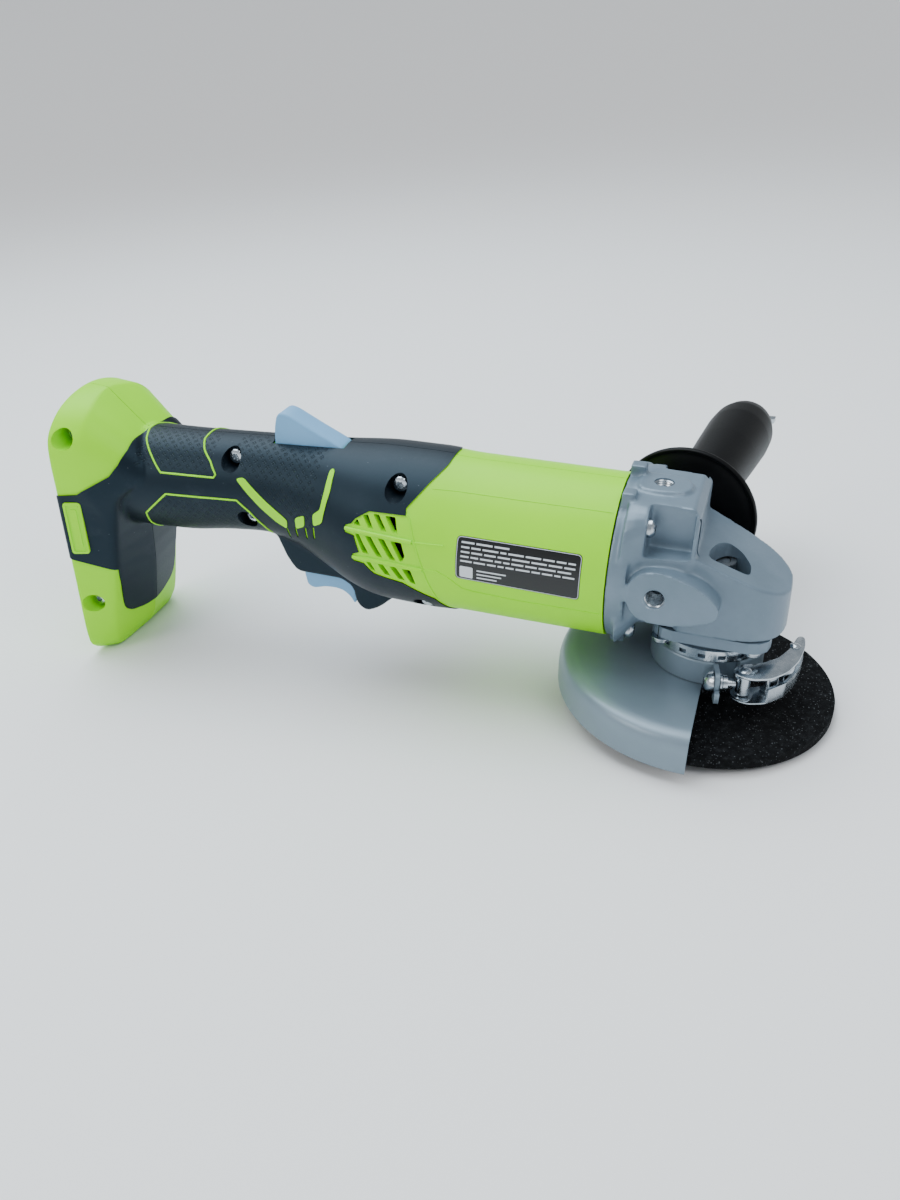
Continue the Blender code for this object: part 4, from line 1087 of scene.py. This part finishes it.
def case_block():
    rings = []
    for x, half, top, bottom, corner in ((-38.0, 33.5, 34.6, -33.0, 20.0), (-34.0, 32.0, 34.8, -27.0, 15.0),
                                         (-29.0, 30.5, 34.7, -18.5, 12.0),
                                         (-12.0, 28.0, 34.4, -18.5, 8.0), (-9.0, 26.0, 30.5, -18.5, 7.0)):
        outline = eased(((-half, bottom), (half, bottom), (half, top), (-half, top)), corner, 6)
        rings.append([(x, y, z) for y, z in outline])
    return loft("case_block", rings)


def make_gear_case():
    """The cast gear case, run together from its flange, block, head and bosses."""
    button = across(8, -11)
    motor = placing((1, 0, 0))
    case = cylinder("cast_gear_case", 35.4, -42.2, -34.5, motor, 96)
    low = [(x, y, -18.5) for x, y in head_outline(True)]
    high = [(x, y, head_top(x)) for x, y in head_outline(False)]
    boss = eased(((-34, 1), (-33, 7.5), (-28, 12.2), (-21, 13.2), (-13, 11.5), (-3, 7.5), (3.5, 1.5), (4.0, -3.5),
                  (-1, -7.5),
                  (-12, -10.5), (-21, -11.2), (-29, -9.5), (-33, -4.5)), 4.0, 3)
    top_boss = eased(((-37, -9), (-37, 9), (-22, 9.5), (-15, 5), (-15, -5), (-22, -9.5)), 5.0, 4)
    additions = [
        case_block(),
        loft("head", [low, high]),
        *both_sides("boss", boss, 10, 36.0),
        prism("top_boss", top_boss, 20, 36.3, "z"),
        cylinder("button_boss", 7.0, 18, 31, button),
        block("lug_top", (-42.0, 4.5, 28), (-35.5, 11.0, 40.0)),
        block("lug_right", (-41.5, -18.5, 26), (-36.0, -11.5, 37.2)),
        block("lug_left", (-41.5, 20.5, 24), (-36.0, 26.5, 33.5)),
        block("lug_low", (-42.0, -9.0, -39.4), (-36.0, -3.0, -30)),
    ]
    fused(case, *additions)
    pockets = []
    for side in (-1, 1):
        outline = eased(((-29, side * 18.5), (-10.5, side * 18.5), (-10.5, side * 60), (-29, side * 60)), 1.5, 3)
        pockets.append(prism("pocket", outline, 15.8, 60, "z"))
    cut(case, *pockets)
    cast(case, 0.75, 4)
    d_vent = eased(((-4.2, -18.4), (-4.5, -12.3), (-2.0, -2.1), (2.4, 3.6), (8.5, 1.4), (12.9, -5.7),
                    (13.0, -14.9)), 3.0, 4)
    lens = eased(((-2.2, 15.0), (-2.2, 31.5), (0.8, 29.5), (2.6, 24.0), (0.8, 18.0)), 1.2, 4)
    lens_place = Matrix.Rotation(math.radians(-50), 4, "Z")
    lens_place.translation = Vector((-10.2, -15.8, 0))
    cuts = [
        cylinder("barrel_room", 30.8, -50, -37.5, motor),
        cylinder("shaft_room", 11.4, -50, -27.2, motor),
        cylinder("shaft_way", 8.8, -50, -10.5, motor),
        cylinder("gear_room", 24.6, -40, -2.6),
        cylinder("spindle_room", 6.9, -10, 5.2),
        cylinder("top_thread", THREAD_BORE, 26, 60, placing((0, 0, 1), (-27, 0, 0))),
        cylinder("button_way", 2.8, 15, 28.5, button),
        cylinder("button_seat", 5.6, 26.2, 40, button),
        cylinder("right_thread", THREAD_BORE, -50, -24, across(-22, 1)),
        cylinder("left_thread", THREAD_BORE, -12, 10, placing(HANDLE_LEAN, HANDLE_START)),
        prism("d_vent", d_vent, -3.5, 30, "z"),
        placed(prism("lens", lens, -5, 14, "x"), lens_place),
    ]
    cut(case, *cuts)
    fit(case, "housing", "cast_alloy", ("gear_case",))


def make_case_threads():
    """Bright threaded inserts in the handle bosses."""
    rings = []
    for place, depth in ((placing((0, -1, 0), (-22, -36.05, 1)), 11.5), (placing((0, 0, 1), (-27, 0, 36.3)), 9.0)):
        profile = [(4.9, 0.0), (4.3, -0.7)]
        level = -0.9
        while level > -depth:
            profile += [(3.75, level - 0.3), (4.1, level - 0.75)]
            level -= 1.0
        profile += [(3.75, -depth), (5.0, -depth), (5.0, -1.0)]
        rings.append(turned("thread", profile, 40, place))
    fit(joined("boss_threads", rings), "housing", "zinc_steel")


def make_case_screws():
    """Round-headed case screws in the pockets and under the flange."""
    screws = []
    for x, y, z in ((-26.0, -23.5, 26), (-26.0, 23.5, 26), (-30.0, -23.5, -22.5), (-30.0, 23.5, -22.5)):
        screw = screw_shape("case_screw", 3.9, 1.8, 3.0, 9.0, 0.9)
        screws.append(placed(screw, placing((-1, 0, 0), (x, y, z))))
    fit(joined("case_screws", screws), "housing", "zinc_steel")
    for number, (x, y) in enumerate(((-18.5, -21.5), (19.0, -20.5), (19.0, 20.5), (-18.5, 21.5)), 1):
        screw = screw_shape("cover", 3.4, 1.8, 2.8, 8.0, 0.6)
        washer = turned("washer", ((2.0, 2.8), (4.3, 2.8), (4.3, 3.3), (2.0, 3.3)), 32)
        piece = placed(joined(f"cover_bolt_{number}", [screw, washer]), placing((0, 0, 1), (x, y, -27.2)))
        fit(piece, "housing", "zinc_steel", (f"cover_screw_{number}",))


# ---------------------------------------------------------------- guard, clamp and wheel


def make_guard():
    """The pressed half-round guard, its clamping collar with an ear and a tab, and the slotted index ring."""
    top = GUARD_TOP - 0.3
    profile = ((NECK_RADIUS + 0.4, top), (GUARD_RADIUS - 6.5, top), (GUARD_RADIUS - 1.6, top - 1.8),
               (GUARD_RADIUS, top - 6.5),
               (GUARD_RADIUS, GUARD_BOTTOM + 0.8), (GUARD_RADIUS - 0.7, GUARD_BOTTOM),
               (GUARD_RADIUS - 1.6, GUARD_BOTTOM + 0.4),
               (GUARD_RADIUS - 2.0, top - 7), (GUARD_RADIUS - 3.2, top - 3.4), (GUARD_RADIUS - 7.0, top - 2.0),
               (NECK_RADIUS + 0.4, top - 2.0))
    pan = turned("guard_pan", eased(profile, 2.2, 3), 140)
    cut(pan, block("front", (1.0, -100, -100), (100, 100, 0)))
    fit(pan, "guard", "guard_steel", ("guard",))
    inner = NECK_RADIUS + 0.3
    band = turned("band", ((inner, GUARD_TOP), (inner + 2.0, GUARD_TOP), (inner + 2.0, -32.6), (inner + 1.5, -32.0),
                           (inner, -32.0)),
                  120, start=-52.0, sweep=334.0)
    band.name = "clamp_collar"
    turn = Matrix.Rotation(math.radians(EAR_TURN), 4, "Z")
    ear = ((inner + 0.2, -43.0), (31.5, -43.0), (33.5, -41.0), (33.5, -34.6), (31.0, -32.2), (inner + 0.2, -32.0))
    tab = ((31.5, -44.6), (36.2, -44.6), (36.2, -39.5), (31.5, -39.5))
    fused(band, placed(prism("ear", eased(ear, 2.5), -1.0, 1.0), turn))
    fused(band, placed(prism("tab", eased(tab, 0.8, 2), -1.0, 1.0), turn))
    cut(band, cylinder("bolt_hole", 2.3, -8, 8, placing(clamp_axis(), CLAMP_EAR), 24))
    fit(band, "guard", "guard_steel", ("guard_collar",))
    ring = turned("ring", ((NECK_RADIUS + 0.3, -31.6), (NECK_RADIUS + 1.9, -31.6), (NECK_RADIUS + 1.9, -26.6),
                           (NECK_RADIUS + 0.3, -26.6)), 96)
    slots = []
    for i in range(RING_SLOTS):
        slot = block("slot", (NECK_RADIUS - 2, -1.6, -30.4), (NECK_RADIUS + 5, 1.6, -28.4))
        slots.append(placed(slot, Matrix.Rotation(math.radians(360 / RING_SLOTS * i + 8), 4, "Z")))
    cut(ring, *slots)
    ring.name = "slotted_ring"
    fit(ring, "housing", "zinc_steel", ("index_ring",))


def clamp_axis():
    return Vector((LEVER_PIN.x, LEVER_PIN.y, CLAMP_EAR.z)) - CLAMP_EAR


def make_clamp():
    """The clamp bolt with its domed head and washers, and the pin that the quick lever turns on."""
    axis = clamp_axis()
    reach = axis.length
    profile = [(0.01, -5.4), (1.8, -5.2), (3.4, -4.4), (4.5, -3.2), (5.1, -1.7), (1.9, -1.6), (1.9, 1.2),
               (4.2, 1.25), (4.2, 2.0),
               (2.2, 2.05), (2.2, 2.4), (3.6, 2.45), (3.6, 4.3), (1.9, 4.35), (1.9, reach - 3.3),
               (0.01, reach - 3.3)]
    bolt = turned("clamp_screw", profile, 40)
    cut(bolt, socket_star(1.7, -6, -3.6))
    fit(placed(bolt, placing(axis, CLAMP_EAR)), "guard", "zinc_steel", ("clamp_bolt",))
    pin = turned("clamp_pin", ((0.01, -42.3), (2.6, -42.3), (3.0, -41.8), (3.0, -33.2), (2.6, -32.7),
                               (0.01, -32.7)), 40,
                 placing((0, 0, 1), LEVER_PIN))
    fit(pin, "guard", "zinc_steel", ("lever_pin",))


def make_quick_lever():
    """The quick lever: two bright leaves curved round the collar, a cam block between them and rivets."""
    outer = ((13.4, -30.6), (20.0, -32.6), (28.0, -29.5), (34.5, -22.0), (38.6, -12.0), (40.6, 0.0), (40.2, 8.0))
    inner = ((37.2, 8.0), (34.5, -3.0), (30.0, -12.5), (23.5, -19.0), (17.0, -21.8), (13.2, -25.4))
    plan = eased(outer + inner, 3.0, 4)
    upper = softened(prism("upper", plan, -32.1, -31.0, "z"), 0.25, 2)
    lower = softened(prism("lower", plan, -44.4, -43.3, "z"), 0.25, 2)
    wall_out = ((28.0, -29.5), (34.5, -22.0), (38.6, -12.0), (40.6, 0.0), (40.2, 7.6))
    wall_in = ((39.0, 7.6), (39.3, 0.0), (37.4, -11.6), (33.5, -21.2), (27.3, -28.4))
    wall = prism("wall", eased(wall_out + wall_in, 1.0, 2), -43.8, -36.8, "z")
    cam = softened(prism("cam", eased(((27.5, -25.5), (31.8, -21.5), (29.0, -16.5), (23.8, -19.5)), 2.0), -43.0,
                         -33.4, "z"), 0.9, 3)
    nib = softened(prism("nib", eased(((33.5, -17.6), (37.0, -14.0), (38.0, -7.0), (34.6, -8.5), (31.6, -14.0)),
                                      1.0), -42.8, -33.2, "z"), 0.6, 2)
    bits = [upper, lower, wall, cam, nib]
    for x, y, low, radius in ((LEVER_PIN.x, LEVER_PIN.y, -31.2, 2.6), (36.4, -1.0, -31.2, 2.3)):
        bits.append(turned("rivet", ((0.01, low), (radius, low), (radius, low + 0.5), (radius * 0.6, low + 1.1),
                                     (0.01, low + 1.2)), 32,
                           placing((0, 0, 1), (x, y, 0))))
    for level in (-32.6, -43.2):
        bits.append(turned("washer", ((3.1, level), (4.6, level), (4.6, level + 0.6), (3.1, level + 0.6)), 32,
                           placing((0, 0, 1), LEVER_PIN)))
    fit(joined("quick_lever", bits), "clamp_lever", "zinc_steel", ("clamp_lever",))


def make_wheel():
    """The grinding wheel, its hub raised above the rim's level."""
    bore, rim = 11.1, 57.5
    hub, top, base = -51.5, -56.0, -62.0
    profile = ((bore, hub), (22.0, hub), (29.0, top), (rim - 0.5, top), (rim, top - 0.5), (rim, base + 0.5),
               (rim - 0.5, base),
               (31.0, base), (23.0, hub - 6.0), (bore, hub - 6.0))
    wheel = turned("depressed_wheel", eased(profile, 1.2, 2), 160)
    fit(wheel, "spindle", "abrasive", ("grinding_wheel",))


# ---------------------------------------------------------------- side handle


def make_side_handle():
    """The side handle with its hand disc, and the pin spanner kept in its hollow end."""
    place = placing(HANDLE_LEAN, HANDLE_START)
    disc = 33.0
    profile = ((4.4, 2.2), (8.0, 2.2), (9.6, 5.4), (18.0, 6.4), (28.0, 8.0), (31.2, 8.9), (31.8, 8.2), (disc, 8.3),
               (disc + 0.2, 11.2),
               (31.5, 11.6), (22.0, 12.4), (15.5, 14.0), (13.6, 22.0), (14.5, 45.0), (16.2, 80.0), (17.1, 106.0),
               (16.6, 118.0),
               (14.5, 126.5), (12.0, HANDLE_END), (8.4, HANDLE_END), (7.8, 129.6), (7.6, 34.0), (4.4, 34.0))
    grip = turned("side_grip", eased(profile, 1.4, 3), 96)
    fit(placed(grip, place), "housing", "black_plastic", ("side_handle",))
    spanner = ((-5.5, 66.0), (5.5, 66.0), (5.5, 137.0), (13.0, 139.0), (13.0, 144.0), (3.5, 142.5))
    outline = spanner + tuple((-x, y) for x, y in reversed(spanner[2:]))
    plate = softened(prism("spanner_plate", eased(outline, 1.2, 3), -1.4, 1.4), 0.3, 2)
    fit(placed(plate, place), "pin_spanner", "zinc_steel", ("pin_spanner",))


# ---------------------------------------------------------------- studio


def make_floor():
    """A pale round floor whose rim curves up slowly into a backdrop."""
    sides = 96
    curve_steps = 24
    rows = [(0.001, 0.0), (FLOOR_RADIUS, 0.0)]
    for step in range(1, curve_steps + 1):
        angle = math.radians(BACKDROP_TILT) * step / curve_steps
        rows.append((FLOOR_RADIUS + BACKDROP_CURVE * math.sin(angle), BACKDROP_CURVE * (1 - math.cos(angle))))
    points = []
    for reach, height in rows:
        for turn in range(sides):
            angle = 2 * math.pi * turn / sides
            points.append((reach * math.cos(angle), reach * math.sin(angle), height - FLOOR_DROP))
    faces = [tuple(range(sides))]
    for row in range(len(rows) - 1):
        for turn in range(sides):
            after = (turn + 1) % sides
            faces.append((row * sides + turn, (row + 1) * sides + turn, (row + 1) * sides + after,
                          row * sides + after))
    mesh = bpy.data.meshes.new("studio_floor")
    mesh.from_pydata(points, [], faces)
    mesh.shade_smooth()
    floor = bpy.data.objects.new("studio_floor", mesh)
    bpy.context.scene.collection.objects.link(floor)
    material, _, surface = start_material("pale_floor")
    surface.inputs["Base Color"].default_value = (0.86, 0.865, 0.87, 1)
    surface.inputs["Roughness"].default_value = 0.85
    floor.data.materials.append(material)


def make_lamp(name, kind, power):
    light = bpy.data.lights.new(name, kind)
    light.energy = power
    lamp = bpy.data.objects.new(name, light)
    bpy.context.scene.collection.objects.link(lamp)
    return light, lamp


def make_studio():
    """The floor, an even pale sky, three softboxes aimed at the tool and a wide soft sun."""
    make_floor()
    world = bpy.data.worlds.new("studio_light")
    world.use_nodes = True
    back = world.node_tree.nodes["Background"]
    back.inputs["Color"].default_value = (0.90, 0.95, 1.0, 1)
    back.inputs["Strength"].default_value = 0.5
    bpy.context.scene.world = world
    target = Vector((0, 0, 0.05))
    softboxes = (
        ((-0.35, 0.25, 1.15), 1.3, 17.0, (0.78, 0.91, 1.0)),
        ((-0.8, -1.0, 0.9), 0.7, 7.0, (1.0, 0.98, 0.95)),
        ((0.9, -0.5, 1.1), 0.8, 6.0, (0.95, 0.97, 1.0)),
    )
    for spot, size, power, tint in softboxes:
        light, lamp = make_lamp("softbox", "AREA", power)
        light.size = size
        light.color = tint
        lamp.location = spot
        lamp.rotation_euler = (target - Vector(spot)).to_track_quat("-Z", "Y").to_euler()
    sun, glow = make_lamp("sky_glow", "SUN", 1.3)
    sun.angle = math.radians(50)
    glow.rotation_euler = (math.radians(-12), math.radians(-18), 0)


def make_camera():
    """The viewer's place and aim, in the tool's frame."""
    data = bpy.data.cameras.new("viewer")
    data.lens = 30.37
    data.sensor_width = 36.0
    camera = bpy.data.objects.new("viewer", data)
    bpy.context.scene.collection.objects.link(camera)
    azimuth, elevation = math.radians(18.7879), math.radians(31.0102)
    spot = Vector((12.6676, -392.6206, 210.438))
    ahead = Vector((-math.sin(azimuth) * math.cos(elevation), math.cos(azimuth) * math.cos(elevation),
                    -math.sin(elevation)))
    stand = Matrix.Translation(spot * MM)
    camera.matrix_world = TOOL @ stand @ ahead.to_track_quat("-Z", "Y").to_matrix().to_4x4()
    bpy.context.scene.camera = camera


for build in (
    make_camera, make_studio, make_shells, make_grips, make_well_linings, make_grip_trim, make_barrel_lines,
    make_label,
    make_badge, make_housing_screws, make_controls, make_springs, make_gear_case, make_case_threads,
    make_case_screws,
    make_guard, make_clamp, make_quick_lever, make_wheel, make_side_handle,
):
    build()
